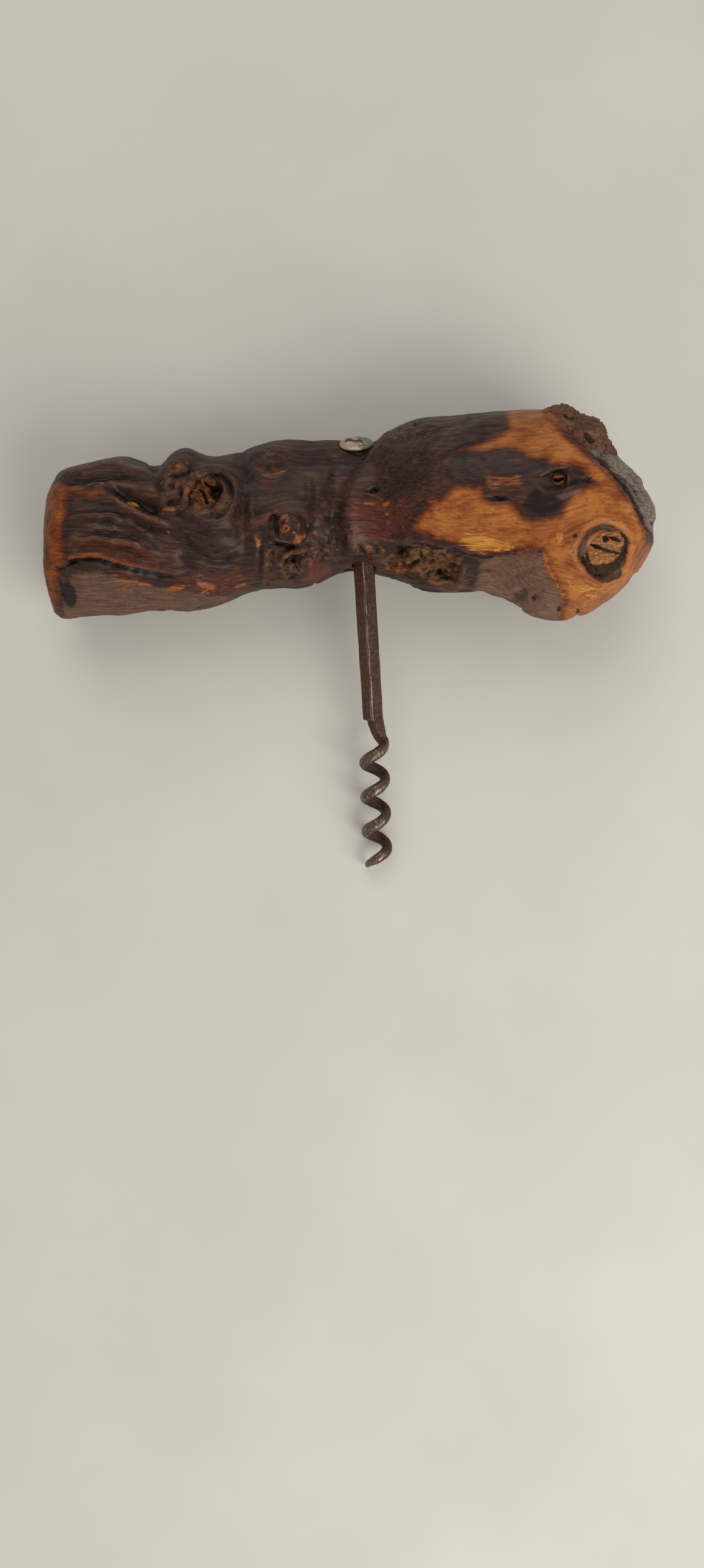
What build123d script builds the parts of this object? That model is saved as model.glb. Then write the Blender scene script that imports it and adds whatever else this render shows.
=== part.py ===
"""Direct-pull corkscrew with a vine-root handle, lying at rest on a table.

Row frame, millimetres: +X along the handle towards its thick end, +Y away from the worm,
+Z up from the table. The origin is under the middle of the whole object, on the table.
While it is built, the origin is the point on the table under the screw's crossing of the handle.
"""
import math
import os
from bisect import bisect_right

from build123d import *

# Screw: one forging, a square shank drawn down to a wire worm below and to a round tang above.
SHANK_SIDE = 4.2
SHANK_EDGE_WEAR = 0.35          # chamfer left on the four corners by wear
SHOULDER_WEAR = 0.40             # chamfer round the shank's lower end
SHANK_TURN = 40.0               # degrees the square is turned about its own axis
SHANK_END = 56.3                # along the axis, from the crossing to the shank's lower shoulder
TANG_RADIUS = 1.7
TANG_SHOULDER = 2.5             # how far below the washer's seat the square shank stops
TANG_ROOT = 0.5                 # how far the round tang runs down into the shank
TANG_SPARE = 2.1                # length above the washer, cut off flush with its top
PITCH = 9.75
HELIX_RADIUS = 2.85             # of the wire's centre line
WIRE_RADIAL = 1.38              # half thickness of the wire, across the helix
WIRE_WIDE = 1.6                 # half width of the wire, along the helix's surface
OVAL_AT_LEAST = 0.02            # by which the wire's long axis is always the longer one
LEAD_IN_RADIUS = 1.9            # of the bar where it leaves the shank
LEAD_START = 50.5               # along the axis, where the bar starts to leave it, inside the shank
LEAD_TURN = 110.0               # degrees it turns from there to the first bend
FIRST_BEND = 63.2               # along the axis, to the middle of the first bend
WORM_SET = 1.8                  # degrees by which the worm is bent out of the shank's line
LAST_ANGLE = 1290.0             # degrees turned from the first bend to the point
POINT_TAPER = 200.0             # the last degrees, over which the wire thins to a point
POINT_SHARE = 0.3               # of the full wire that is left at the point
PATH_STEPS = 24                 # steps of the curve that a drawn-down stretch follows
OVALS = 5                       # sections along a drawn-down stretch

# How the screw stands in the handle as it lies on the table.
LEAN = 3.8                      # degrees off square to the handle, seen from above
TILT = 12.2                     # degrees the worm's end dips towards the table

# Washer: soft white metal, hammered over the tang.
WASHER_RADIUS = 4.5
WASHER_TOP_RADIUS = 2.7
WASHER_BRIM = 0.5
WASHER_HEIGHT = 1.5
WASHER_EDGE = 0.15              # how far the rim's lower edge is rounded in
WASHER_DRAFT = 0.1              # how far the rim leans in at the brim
WASHER_TILT = 24.0              # degrees its seat leans from square to the screw
SEAT_ALONG_AXIS = 16.2          # from the crossing to the seat
SEAT_RADIUS = 5.2
HEAD_RADIUS = 2.3
HEAD_HEIGHT = 0.45
HEAD_ROUNDING = 0.27

BORE_RADIUS = 3.1               # the hole drilled through the handle for the square shank
BORE_LENGTH = 80.0              # of the drill's cut, longer than the handle is wide
BORE_PAST_SEAT = 5.0            # how far the drill's cut starts outside the washer's seat
TRIM = 20.0                     # side and height of a trimming block or cutter

# Handle: x of each section, its highest and lowest y, its half depth, and its middle's height.
SECTIONS = [
    (-82.6, 0.6, -23.4, 8.5, 17.0),
    (-81.8, 4.8, -26.0, 12.5, 17.2),
    (-80.0, 8.8, -27.4, 15.8, 17.6),
    (-76.5, 11.2, -27.4, 17.8, 18.2),
    (-70.0, 13.2, -26.8, 18.6, 18.6),
    (-64.0, 14.6, -26.6, 18.6, 18.6),
    (-58.0, 13.0, -25.7, 18.0, 18.2),
    (-53.0, 12.8, -25.5, 17.4, 18.0),
    (-47.0, 15.2, -25.8, 17.2, 18.0),
    (-41.0, 14.8, -24.8, 17.2, 18.0),
    (-34.0, 15.8, -22.3, 17.0, 18.0),
    (-27.0, 17.2, -20.0, 16.8, 18.0),
    (-19.0, 19.2, -19.6, 16.8, 18.0),
    (-12.0, 18.6, -18.4, 16.6, 18.4),
    (-5.0, 18.6, -15.2, 16.4, 18.9),
    (2.0, 18.4, -15.2, 16.6, 19.2),
    (8.0, 20.8, -16.6, 18.4, 20.4),
    (14.0, 22.6, -19.2, 21.0, 22.4),
    (22.0, 23.0, -20.4, 23.0, 23.8),
    (30.0, 23.4, -20.2, 24.2, 24.6),
    (38.0, 23.8, -22.0, 24.8, 25.0),
    (45.0, 23.8, -26.6, 25.0, 25.0),
    (51.0, 21.8, -28.6, 24.8, 25.0),
    (57.0, 17.2, -28.0, 23.8, 25.0),
    (63.0, 12.0, -25.3, 21.6, 25.0),
    (68.0, 7.2, -21.4, 18.4, 25.2),
    (72.4, 3.6, -16.4, 13.8, 25.6),
    (75.2, 0.8, -11.8, 8.6, 26.0),
    (76.2, -1.6, -8.2, 4.4, 26.2),
]
POINTS_ROUND_SECTION = 20

# Swellings and hollows: x, angle round the section from +Y towards +Z, half length, half width
# in degrees, and height in the same units as the sizes.
SWELLINGS = {
    "root_stub": (59.7, -20.0, 7.2, 24.0, 10.4),
    "bark_flank": (71.2, -40.0, 4.4, 28.0, 6.2),
    "shoulder_knob": (-46.5, 16.0, 4.0, 18.0, 2.4),
    "left_upper_ridge": (-66.0, 48.0, 13.0, 13.0, 2.2),
    "left_upper_valley": (-57.0, 26.0, 14.0, 12.0, -2.4),
    "left_lower_split": (-58.0, 148.0, 17.0, 10.0, -1.6),
    "waist_burl": (-18.0, 128.0, 6.0, 18.0, 2.2),
    "eroded_hollow": (24.0, 156.0, 10.0, 13.0, -4.6),
    "lower_lobe": (30.0, 200.0, 14.0, 20.0, 1.4),
}

# Encased knots: x and y of each face's middle, radius, how deep it goes, and how far it stands back.
KNOTS = {
    "large_knot": (60.3, -16.3, 5.3, 7.0, 0.5),
    "crumbled_knot": (-39.2, 2.2, 4.2, 5.0, 1.0),
    "eye_knot": (47.9, 1.3, 2.0, 3.5, 0.6),
}
KNOT_REACH = 30.0               # how far outside the wood a knot's cutting cylinder starts
KNOT_ROUNDING = 0.4


def smooth_between(x, column):
    """Value of one column of SECTIONS at x, on a monotone cubic through the sections."""
    xs = [row[0] for row in SECTIONS]
    ys = [row[column] for row in SECTIONS]
    i = min(max(bisect_right(xs, x) - 1, 0), len(xs) - 2)

    def slope(k):
        if k in (0, len(xs) - 1):
            return 0.0
        before = (ys[k] - ys[k - 1]) / (xs[k] - xs[k - 1])
        after = (ys[k + 1] - ys[k]) / (xs[k + 1] - xs[k])
        return 2 * before * after / (before + after) if before * after > 0 else 0.0

    run = xs[i + 1] - xs[i]
    t = min(max((x - xs[i]) / run, 0.0), 1.0)
    return (
        ys[i] * (1 + 2 * t) * (1 - t) ** 2
        + ys[i + 1] * t * t * (3 - 2 * t)
        + run * (slope(i) * t * (1 - t) ** 2 - slope(i + 1) * t * t * (1 - t))
    )


def swelling_at(x, angle):
    """Total height of the swellings at a place on the handle, in millimetres."""
    total = 0.0
    for at_x, at_angle, half_length, half_width, height in SWELLINGS.values():
        along = (x - at_x) / half_length
        turn = ((angle - at_angle + 180) % 360 - 180) / half_width
        total += height * math.exp(-0.5 * (along * along + turn * turn))
    return total


def handle_point(x, angle):
    """A point on the handle's skin, at x and at an angle round the section."""
    high, low = smooth_between(x, 1), smooth_between(x, 2)
    depth, middle = smooth_between(x, 3), smooth_between(x, 4)
    c, s = math.cos(math.radians(angle)), math.sin(math.radians(angle))
    share = min(depth / SECTIONS[1][3], 1.0)    # no swellings on the very ends
    out = swelling_at(x, angle) * share
    return Vector(x, (high + low) / 2 + ((high - low) / 2 + out) * c, middle + (depth + out) * s)


def handle_blank():
    """The handle before it is drilled: one smooth body through its sections."""
    step = 360 / POINTS_ROUND_SECTION
    even = [i / POINTS_ROUND_SECTION for i in range(POINTS_ROUND_SECTION + 1)]
    faces = []
    for row in SECTIONS:
        ring = [handle_point(row[0], i * step) for i in range(POINTS_ROUND_SECTION)]
        faces.append(Face(Wire([Edge.make_spline(ring, periodic=True, parameters=even)])))
    return Solid.make_loft([f.outer_wire() for f in faces])


def worm_centre(angle):
    """The wire's centre at an angle turned past the first bend, or before it if negative."""
    along, radius = FIRST_BEND + PITCH * angle / 360, HELIX_RADIUS
    if angle < 0:
        share = 1 + angle / LEAD_TURN
        along -= (FIRST_BEND - PITCH * LEAD_TURN / 360 - LEAD_START) * (1 - share) ** 2
        radius *= share * share * (3 - 2 * share)
    t = math.radians(-angle)
    return Vector(radius * math.cos(t), radius * math.sin(t), -along)


def wire_direction(angle):
    """Which way the wire runs at an angle: along the helix, or along its lead-in before 0."""
    if angle < 0:
        return (worm_centre(angle + 1) - worm_centre(angle - 1)).normalized()
    t = math.radians(-angle)
    rise = PITCH / (2 * math.pi)
    return Vector(HELIX_RADIUS * math.sin(t), -HELIX_RADIUS * math.cos(t), -rise).normalized()


def wire_section(angle, radial, wide):
    """An oval square to the wire at an angle."""
    tangent = wire_direction(angle)
    outward = Vector(math.cos(math.radians(-angle)), math.sin(math.radians(-angle)), 0)
    outward = (outward - tangent * outward.dot(tangent)).normalized()
    return Plane(origin=worm_centre(angle), x_dir=outward, z_dir=tangent) * Ellipse(radial, wide)


def wire_stretch(first, last, sections):
    """The wire between two angles, through ovals placed along it."""
    step = (last - first) / PATH_STEPS
    path = Edge.make_spline([worm_centre(first + step * i) for i in range(PATH_STEPS + 1)])
    return sweep(sections=sections, path=path, multisection=True, is_frenet=True)


def worm():
    """The wire worm: its lead-in from the shank, its even turns and its pointed last stretch."""
    thinning = LAST_ANGLE - POINT_TAPER
    drawing_down = []
    for i in range(OVALS):
        done = i / (OVALS - 1)
        radial = LEAD_IN_RADIUS + (WIRE_RADIAL - LEAD_IN_RADIUS) * done
        wide = LEAD_IN_RADIUS + (WIRE_WIDE - LEAD_IN_RADIUS) * done + OVAL_AT_LEAST
        drawing_down.append(wire_section(LEAD_TURN * (done - 1), radial, wide))
    lead_in = wire_stretch(-LEAD_TURN, 0, drawing_down)
    turns = Helix(pitch=PITCH, height=PITCH * thinning / 360, radius=HELIX_RADIUS)
    start = Plane(origin=turns @ 0, x_dir=(1, 0, 0), z_dir=turns % 0)
    oval = start * Ellipse(WIRE_RADIAL, WIRE_WIDE + OVAL_AT_LEAST)
    even_turns = sweep(oval, path=turns, is_frenet=True)
    tapering = []
    for i in range(OVALS):
        done = i / (OVALS - 1)
        share = POINT_SHARE + (1 - POINT_SHARE) * math.sin((1 - done) * math.pi / 2)
        angle = thinning + POINT_TAPER * done
        tapering.append(wire_section(angle, WIRE_RADIAL * share, WIRE_WIDE * share + OVAL_AT_LEAST))
    point = wire_stretch(thinning, LAST_ANGLE, tapering)
    wire = lead_in + Pos(0, 0, -FIRST_BEND) * Rot(180, 0, 0) * even_turns + point
    return Pos(0, 0, -SHANK_END) * Rot(0, WORM_SET, 0) * Pos(0, 0, SHANK_END) * wire


def washer_plane(above_seat=0.0):
    """The plane of the washer's seat in the screw's frame, or one parallel to it above."""
    lean = math.radians(WASHER_TILT)
    normal = Vector(0, -math.sin(lean), math.cos(lean))
    return Plane(
        origin=Vector(0, 0, SEAT_ALONG_AXIS) + normal * above_seat, x_dir=(1, 0, 0), z_dir=normal
    )


def forged_screw():
    """Square shank, tang with its peened head, and worm: one forging, in its own frame."""
    shank_top = SEAT_ALONG_AXIS - TANG_SHOULDER
    length = shank_top + SHANK_END
    shank = Pos(0, 0, shank_top - length / 2) * Rot(0, 0, SHANK_TURN) * Box(
        SHANK_SIDE, SHANK_SIDE, length
    )
    shank = chamfer(shank.edges().filter_by(Axis.Z), SHANK_EDGE_WEAR)
    shank = chamfer(shank.faces().sort_by(Axis.Z)[0].edges(), SHOULDER_WEAR)
    tang_length = TANG_SHOULDER + WASHER_HEIGHT + TANG_SPARE
    tang_middle = shank_top - TANG_ROOT + tang_length / 2
    tang = Pos(0, 0, tang_middle) * Cylinder(TANG_RADIUS, tang_length)
    above = washer_plane(WASHER_HEIGHT)
    tang -= above * Pos(0, 0, TRIM / 2) * Box(TRIM, TRIM, TRIM)
    head = above * Pos(0, 0, HEAD_HEIGHT / 2) * Cylinder(HEAD_RADIUS, HEAD_HEIGHT)
    head = chamfer(head.edges().group_by(Axis(above.origin, above.z_dir))[-1], HEAD_ROUNDING)
    return shank + worm() + tang + head


def top_washer():
    """Low cone of soft metal with the tang's hole through it, in the screw's frame."""
    with BuildSketch(Plane.XZ) as profile:
        with BuildLine():
            Polyline(
                (0, 0),
                (WASHER_RADIUS - WASHER_EDGE, 0),
                (WASHER_RADIUS, WASHER_EDGE),
                (WASHER_RADIUS - WASHER_DRAFT, WASHER_BRIM),
                (WASHER_TOP_RADIUS, WASHER_HEIGHT),
                (0, WASHER_HEIGHT),
                close=True,
            )
        make_face()
    cone = revolve(profile.sketch, Axis.Z)
    return washer_plane() * cone - Pos(0, 0, SEAT_ALONG_AXIS) * Cylinder(TANG_RADIUS, TRIM)


def knot_cutter(name):
    """A round bar square to the skin at the knot, and the same bar starting at the knot's face."""
    x, y, radius, deep, back = KNOTS[name]
    high, low = smooth_between(x, 1), smooth_between(x, 2)
    across = (2 * y - high - low) / (high - low)
    angle = math.degrees(math.acos(max(-1.0, min(1.0, across))))
    skin = handle_point(x, angle)
    along = handle_point(x + 1, angle) - handle_point(x - 1, angle)
    around = handle_point(x, angle + 2) - handle_point(x, angle - 2)
    outward = around.cross(along).normalized()
    inner = skin - outward * deep
    place = Plane(origin=inner, z_dir=outward)
    pocket = place * Pos(0, 0, KNOT_REACH / 2) * Cylinder(radius, KNOT_REACH)
    face = deep - back
    core = place * Pos(0, 0, face / 2) * Cylinder(radius, face)
    return pocket, chamfer(core.edges().group_by(Axis(inner, outward))[-1], KNOT_ROUNDING)


def screw_to_table(height):
    """Where the screw's own frame stands when its axis crosses the handle at a height."""
    lean, tilt = math.radians(LEAN), math.radians(TILT)
    up = Vector(-math.sin(lean) * math.cos(tilt), math.cos(lean) * math.cos(tilt), math.sin(tilt))
    across = Vector(math.cos(lean), math.sin(lean), 0)
    return Plane(origin=(0, 0, height), x_dir=across, z_dir=up)


def main():
    screw, washer = forged_screw(), top_washer()
    height = -(screw_to_table(0) * screw).bounding_box().min.Z
    place = screw_to_table(height)
    print("screw axis crosses the handle at height", round(height, 2))

    handle = handle_blank()
    print("handle blank", round(handle.volume), "mm3, lowest", round(handle.bounding_box().min.Z, 3))
    bore_middle = SEAT_ALONG_AXIS + BORE_PAST_SEAT - BORE_LENGTH / 2
    bore = Pos(0, 0, bore_middle) * Cylinder(BORE_RADIUS, BORE_LENGTH)
    seat = washer_plane() * Pos(0, 0, TRIM / 2) * Cylinder(SEAT_RADIUS, TRIM)
    handle = handle - place * bore - place * seat
    parts = {}
    for name in KNOTS:
        pocket, core = knot_cutter(name)
        handle = handle - pocket
        parts[name] = core
    parts["vine_handle"] = handle
    parts["forged_screw"] = place * screw
    parts["top_washer"] = place * washer

    box = Compound(children=[Part(p.wrapped) for p in parts.values()]).bounding_box()
    centre = Pos(-(box.min.X + box.max.X) / 2, -(box.min.Y + box.max.Y) / 2, -box.min.Z)
    print("row frame origin, from the crossing", centre.position)
    os.makedirs("parts", exist_ok=True)
    for name, part in parts.items():
        export_step(centre * part, f"parts/{name}.step")


main()
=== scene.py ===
"""Old direct-pull corkscrew: a vine root drilled across for a forged screw, on a pale board.

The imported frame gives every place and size. The root is carved here with strokes over a dense copy
of the handle's own solid, and the screw, washer and knots are modelled round their solids.
"""
from __future__ import annotations

import logging
import math
from dataclasses import dataclass, field
from enum import Enum
from typing import Sequence

import bpy
import numpy as np
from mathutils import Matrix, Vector, noise

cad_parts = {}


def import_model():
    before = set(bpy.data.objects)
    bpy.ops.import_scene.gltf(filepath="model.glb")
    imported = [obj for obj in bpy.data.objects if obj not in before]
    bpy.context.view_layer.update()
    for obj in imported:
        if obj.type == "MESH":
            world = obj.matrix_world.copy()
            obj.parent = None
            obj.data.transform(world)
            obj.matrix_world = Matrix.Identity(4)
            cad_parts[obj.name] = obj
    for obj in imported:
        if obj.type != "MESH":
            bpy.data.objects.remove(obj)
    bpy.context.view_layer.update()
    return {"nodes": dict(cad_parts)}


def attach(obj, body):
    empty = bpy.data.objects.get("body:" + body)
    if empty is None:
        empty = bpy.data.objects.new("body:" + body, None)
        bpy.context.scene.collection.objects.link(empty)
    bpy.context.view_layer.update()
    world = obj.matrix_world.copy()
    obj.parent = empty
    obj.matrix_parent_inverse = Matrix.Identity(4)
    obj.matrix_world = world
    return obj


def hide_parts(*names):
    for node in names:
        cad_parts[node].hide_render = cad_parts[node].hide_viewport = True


LOG = logging.getLogger("corkscrew")
MM = 0.001
CROSSING = np.array([3.2, 34.86, 23.25])    # mm, where the screw's axis crosses the handle
LEAN = 3.8                                  # degrees off square to the handle, seen from above
TILT = 12.2                                 # degrees the worm's end dips towards the board
Point = tuple[float, float]


# --- small tools -----------------------------------------------------------------------------


def linear(hex_colour: str) -> tuple[float, float, float, float]:
    """Turns an sRGB hex colour into linear RGBA.

    Args:
        hex_colour: Six hex digits with a leading hash.

    Returns:
        Linear red, green, blue and an alpha of 1.
    """
    parts = [int(hex_colour[i:i + 2], 16) / 255 for i in (1, 3, 5)]
    r, g, b = (p / 12.92 if p <= 0.04045 else ((p + 0.055) / 1.055) ** 2.4 for p in parts)
    return r, g, b, 1.0


def smooth(x: np.ndarray, low: float, high: float) -> np.ndarray:
    """Smoothly rises from 0 at low to 1 at high, or falls if low is above high."""
    t = np.clip((x - low) / (high - low), 0.0, 1.0)
    return t * t * (3 - 2 * t)


def deselect() -> None:
    """Leaves nothing selected, so that the next operator acts on the new piece alone."""
    if bpy.context.object and bpy.context.object.mode != "OBJECT":
        bpy.ops.object.mode_set(mode="OBJECT")
    bpy.ops.object.select_all(action="DESELECT")


def pick(piece: bpy.types.Object) -> None:
    """Selects one piece and makes it active."""
    deselect()
    piece.select_set(True)
    bpy.context.view_layer.objects.active = piece


def settle(piece: bpy.types.Object) -> None:
    """Puts a piece's place, turn and size into its mesh."""
    pick(piece)
    bpy.ops.object.transform_apply(location=True, rotation=True, scale=True)


def remesh(piece: bpy.types.Object, voxel_mm: float) -> None:
    """Turns a closed piece into one even skin of small faces.

    Args:
        piece: The piece, of one or more closed shells that may run into each other.
        voxel_mm: The face size, in millimetres.
    """
    pick(piece)
    even = piece.modifiers.new("even_skin", "REMESH")
    even.mode = "VOXEL"
    even.voxel_size = voxel_mm * MM
    even.use_smooth_shade = True
    bpy.ops.object.modifier_apply(modifier=even.name)


def outward(piece: bpy.types.Object) -> None:
    """Merges a closed piece's doubles and turns its faces outwards."""
    pick(piece)
    bpy.ops.object.mode_set(mode="EDIT")
    bpy.ops.mesh.select_all(action="SELECT")
    bpy.ops.mesh.remove_doubles(threshold=0.001 * MM)
    bpy.ops.mesh.normals_make_consistent(inside=False)
    bpy.ops.object.mode_set(mode="OBJECT")


class Skin:
    """A piece's vertices as arrays in millimetres, for carving it as with a brush."""

    def __init__(self, piece: bpy.types.Object) -> None:
        """Reads the vertices and edges of a piece.

        Args:
            piece: The mesh object to carve.
        """
        self.piece = piece
        mesh = piece.data
        self.count = len(mesh.vertices)
        flat = np.zeros(self.count * 3, np.float32)
        mesh.vertices.foreach_get("co", flat)
        self.at = flat.reshape(-1, 3).astype(float) / MM
        ends = np.zeros(len(mesh.edges) * 2, np.int32)
        mesh.edges.foreach_get("vertices", ends)
        self.ends = ends.reshape(-1, 2)
        self.links = np.bincount(self.ends.ravel(), minlength=self.count)[:, None]
        self.normal = self.read_normals()

    def read_normals(self) -> np.ndarray:
        """Reads the vertex normals of the mesh as it is now."""
        flat = np.zeros(self.count * 3, np.float32)
        self.piece.data.vertices.foreach_get("normal", flat)
        return flat.reshape(-1, 3).astype(float)

    def write(self) -> None:
        """Writes the places back and reads the new normals."""
        self.piece.data.vertices.foreach_set("co", (self.at * MM).astype(np.float32).ravel())
        self.piece.data.update()
        self.normal = self.read_normals()

    def push(self, height: np.ndarray) -> None:
        """Moves every vertex along its normal and writes the mesh.

        Args:
            height: How far, in millimetres, one value for each vertex.
        """
        self.at += self.normal * height[:, None]
        self.write()

    def averaged(self, values: np.ndarray, rounds: int) -> np.ndarray:
        """Averages values with their neighbours' a number of times.

        Args:
            values: One row for each vertex.
            rounds: How many times, each spreading by about one edge.

        Returns:
            The averaged values, in the same shape.
        """
        a, b = self.ends[:, 0], self.ends[:, 1]
        out = np.array(values, float).reshape(self.count, -1)
        for _ in range(rounds):
            total = np.zeros_like(out)
            for column in range(out.shape[1]):
                total[:, column] += np.bincount(a, out[b, column], self.count)
                total[:, column] += np.bincount(b, out[a, column], self.count)
            out = 0.5 * out + 0.5 * total / np.maximum(self.links, 1)
        return out.reshape(np.shape(values))

    def relief(self, rounds: int, depth_mm: float) -> np.ndarray:
        """How far each vertex stands above the skin round it, from -1 in a hollow to 1 on a ridge.

        Args:
            rounds: How wide a neighbourhood is averaged, in edges.
            depth_mm: The height that counts as 1.
        """
        away = ((self.at - self.averaged(self.at, rounds)) * self.normal).sum(1)
        return np.clip(away / depth_mm, -1.0, 1.0)

    def noise(self, scale_mm: Sequence[float], seed: float, octaves: int = 1) -> np.ndarray:
        """Smooth noise from about -1 to 1 at every vertex.

        Args:
            scale_mm: The size of its blobs along X, Y and Z, in millimetres.
            seed: Moves the pattern, so that two calls differ.
            octaves: How many finer layers are added.
        """
        places = self.at / np.array(scale_mm) + seed * 17.3
        return noise_at(places, octaves)

    def keep(self, name: str, values: np.ndarray) -> None:
        """Stores one number, or a vector, for each vertex as an attribute of the mesh."""
        kind = "FLOAT" if values.ndim == 1 else "FLOAT_VECTOR"
        attribute = self.piece.data.attributes.new(name, kind, "POINT")
        key = "value" if values.ndim == 1 else "vector"
        attribute.data.foreach_set(key, values.astype(np.float32).ravel())


def noise_at(places: np.ndarray, octaves: int = 1) -> np.ndarray:
    """Smooth noise at a list of places, with finer layers at half the height each."""
    total, height = np.zeros(len(places)), 1.0
    for layer in range(octaves):
        step = places * 2.03 ** layer + 31.7 * layer
        total += height * np.array([noise.noise(p) for p in step])
        height *= 0.5
    return total


# --- materials -------------------------------------------------------------------------------


def add_node(
    material: bpy.types.Material,
    kind: str,
    settings: dict | None = None,
    links: dict | None = None,
) -> bpy.types.Node:
    """Adds one shader node with its settings and what feeds it.

    Args:
        material: The material whose tree it joins.
        kind: The node's type name, without its ShaderNode prefix.
        settings: Node properties by name.
        links: What feeds each input, by name or number: a number, a tuple, an output socket, or
            a node, which stands for its first output.

    Returns:
        The new node.
    """
    node = material.node_tree.nodes.new("ShaderNode" + kind)
    for name, value in (settings or {}).items():
        setattr(node, name, value)
    for name, source in (links or {}).items():
        if isinstance(source, bpy.types.Node):
            source = source.outputs[0]
        if isinstance(source, bpy.types.NodeSocket):
            material.node_tree.links.new(source, node.inputs[name])
        else:
            node.inputs[name].default_value = source
    return node


def ramp(material: bpy.types.Material, source: object, stops: dict[float, str]) -> bpy.types.Node:
    """Adds a colour ramp through sRGB colours at the given positions."""
    node = add_node(material, "ValToRGB", links={"Fac": source})
    elements = node.color_ramp.elements
    while len(elements) < len(stops):
        elements.new(0.5)
    for element, (position, colour) in zip(elements, sorted(stops.items())):
        element.position = position
        element.color = linear(colour)
    return node


def blend(
    material: bpy.types.Material, share: object, under: object, over: object
) -> bpy.types.NodeSocket:
    """Lays one colour over another by a share and returns the result."""
    node = add_node(material, "Mix", {"data_type": "RGBA"}, {0: share, 6: under, 7: over})
    return node.outputs[2]


def band(
    material: bpy.types.Material, source: object, low: float, high: float
) -> bpy.types.NodeSocket:
    """Stretches a value so that low becomes 0 and high becomes 1, smoothly and within bounds."""
    node = add_node(
        material,
        "MapRange",
        {"interpolation_type": "SMOOTHSTEP"},
        {"Value": source, "From Min": low, "From Max": high},
    )
    return node.outputs[0]


def sums(
    material: bpy.types.Material, kind: str, first: object, second: object, clamp: bool = False
) -> bpy.types.NodeSocket:
    """Adds, multiplies or compares two values with a Math node."""
    node = add_node(
        material, "Math", {"operation": kind, "use_clamp": clamp}, {0: first, 1: second}
    )
    return node.outputs[0]


def stored(material: bpy.types.Material, name: str, vector: bool = False) -> bpy.types.NodeSocket:
    """Reads an attribute of the piece, as one number or as a vector."""
    node = add_node(material, "Attribute", {"attribute_name": name})
    return node.outputs["Vector" if vector else "Fac"]


def pattern(
    material: bpy.types.Material,
    where: bpy.types.NodeSocket,
    size_mm: Sequence[float],
    unit_mm: float = 1000.0,
    detail: float = 4.0,
    rough: float = 0.55,
    twist: float = 0.0,
) -> bpy.types.NodeSocket:
    """Noise whose blobs have a real size along each axis.

    Args:
        material: The material that it joins.
        where: The coordinates that it reads.
        size_mm: Blob size along the three axes, in millimetres.
        unit_mm: How many millimetres one unit of those coordinates is.
        detail: How many finer layers.
        rough: The strength of each finer layer beside the last.
        twist: How far the pattern is warped.

    Returns:
        The noise's value socket, which stays around 0.5.
    """
    scaled = add_node(
        material,
        "VectorMath",
        {"operation": "MULTIPLY"},
        {0: where, 1: tuple(unit_mm / s for s in size_mm)},
    )
    node = add_node(
        material,
        "TexNoise",
        {},
        {"Vector": scaled, "Scale": 1.0, "Detail": detail, "Roughness": rough, "Distortion": twist},
    )
    return node.outputs[0]


def new_material(name: str) -> tuple[bpy.types.Material, bpy.types.Node]:
    """Makes an empty material and returns it with its Principled shader."""
    material = bpy.data.materials.new(name)
    material.use_nodes = True
    tree = material.node_tree
    tree.nodes.clear()
    shader = add_node(material, "BsdfPrincipled")
    add_node(material, "OutputMaterial", links={"Surface": shader})
    return material, shader


def feed(material: bpy.types.Material, shader: bpy.types.Node, inputs: dict[str, object]) -> None:
    """Sets or links several inputs of the Principled shader."""
    for name, source in inputs.items():
        if isinstance(source, bpy.types.Node):
            source = source.outputs[0]
        if isinstance(source, bpy.types.NodeSocket):
            material.node_tree.links.new(source, shader.inputs[name])
        else:
            shader.inputs[name].default_value = source


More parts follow.
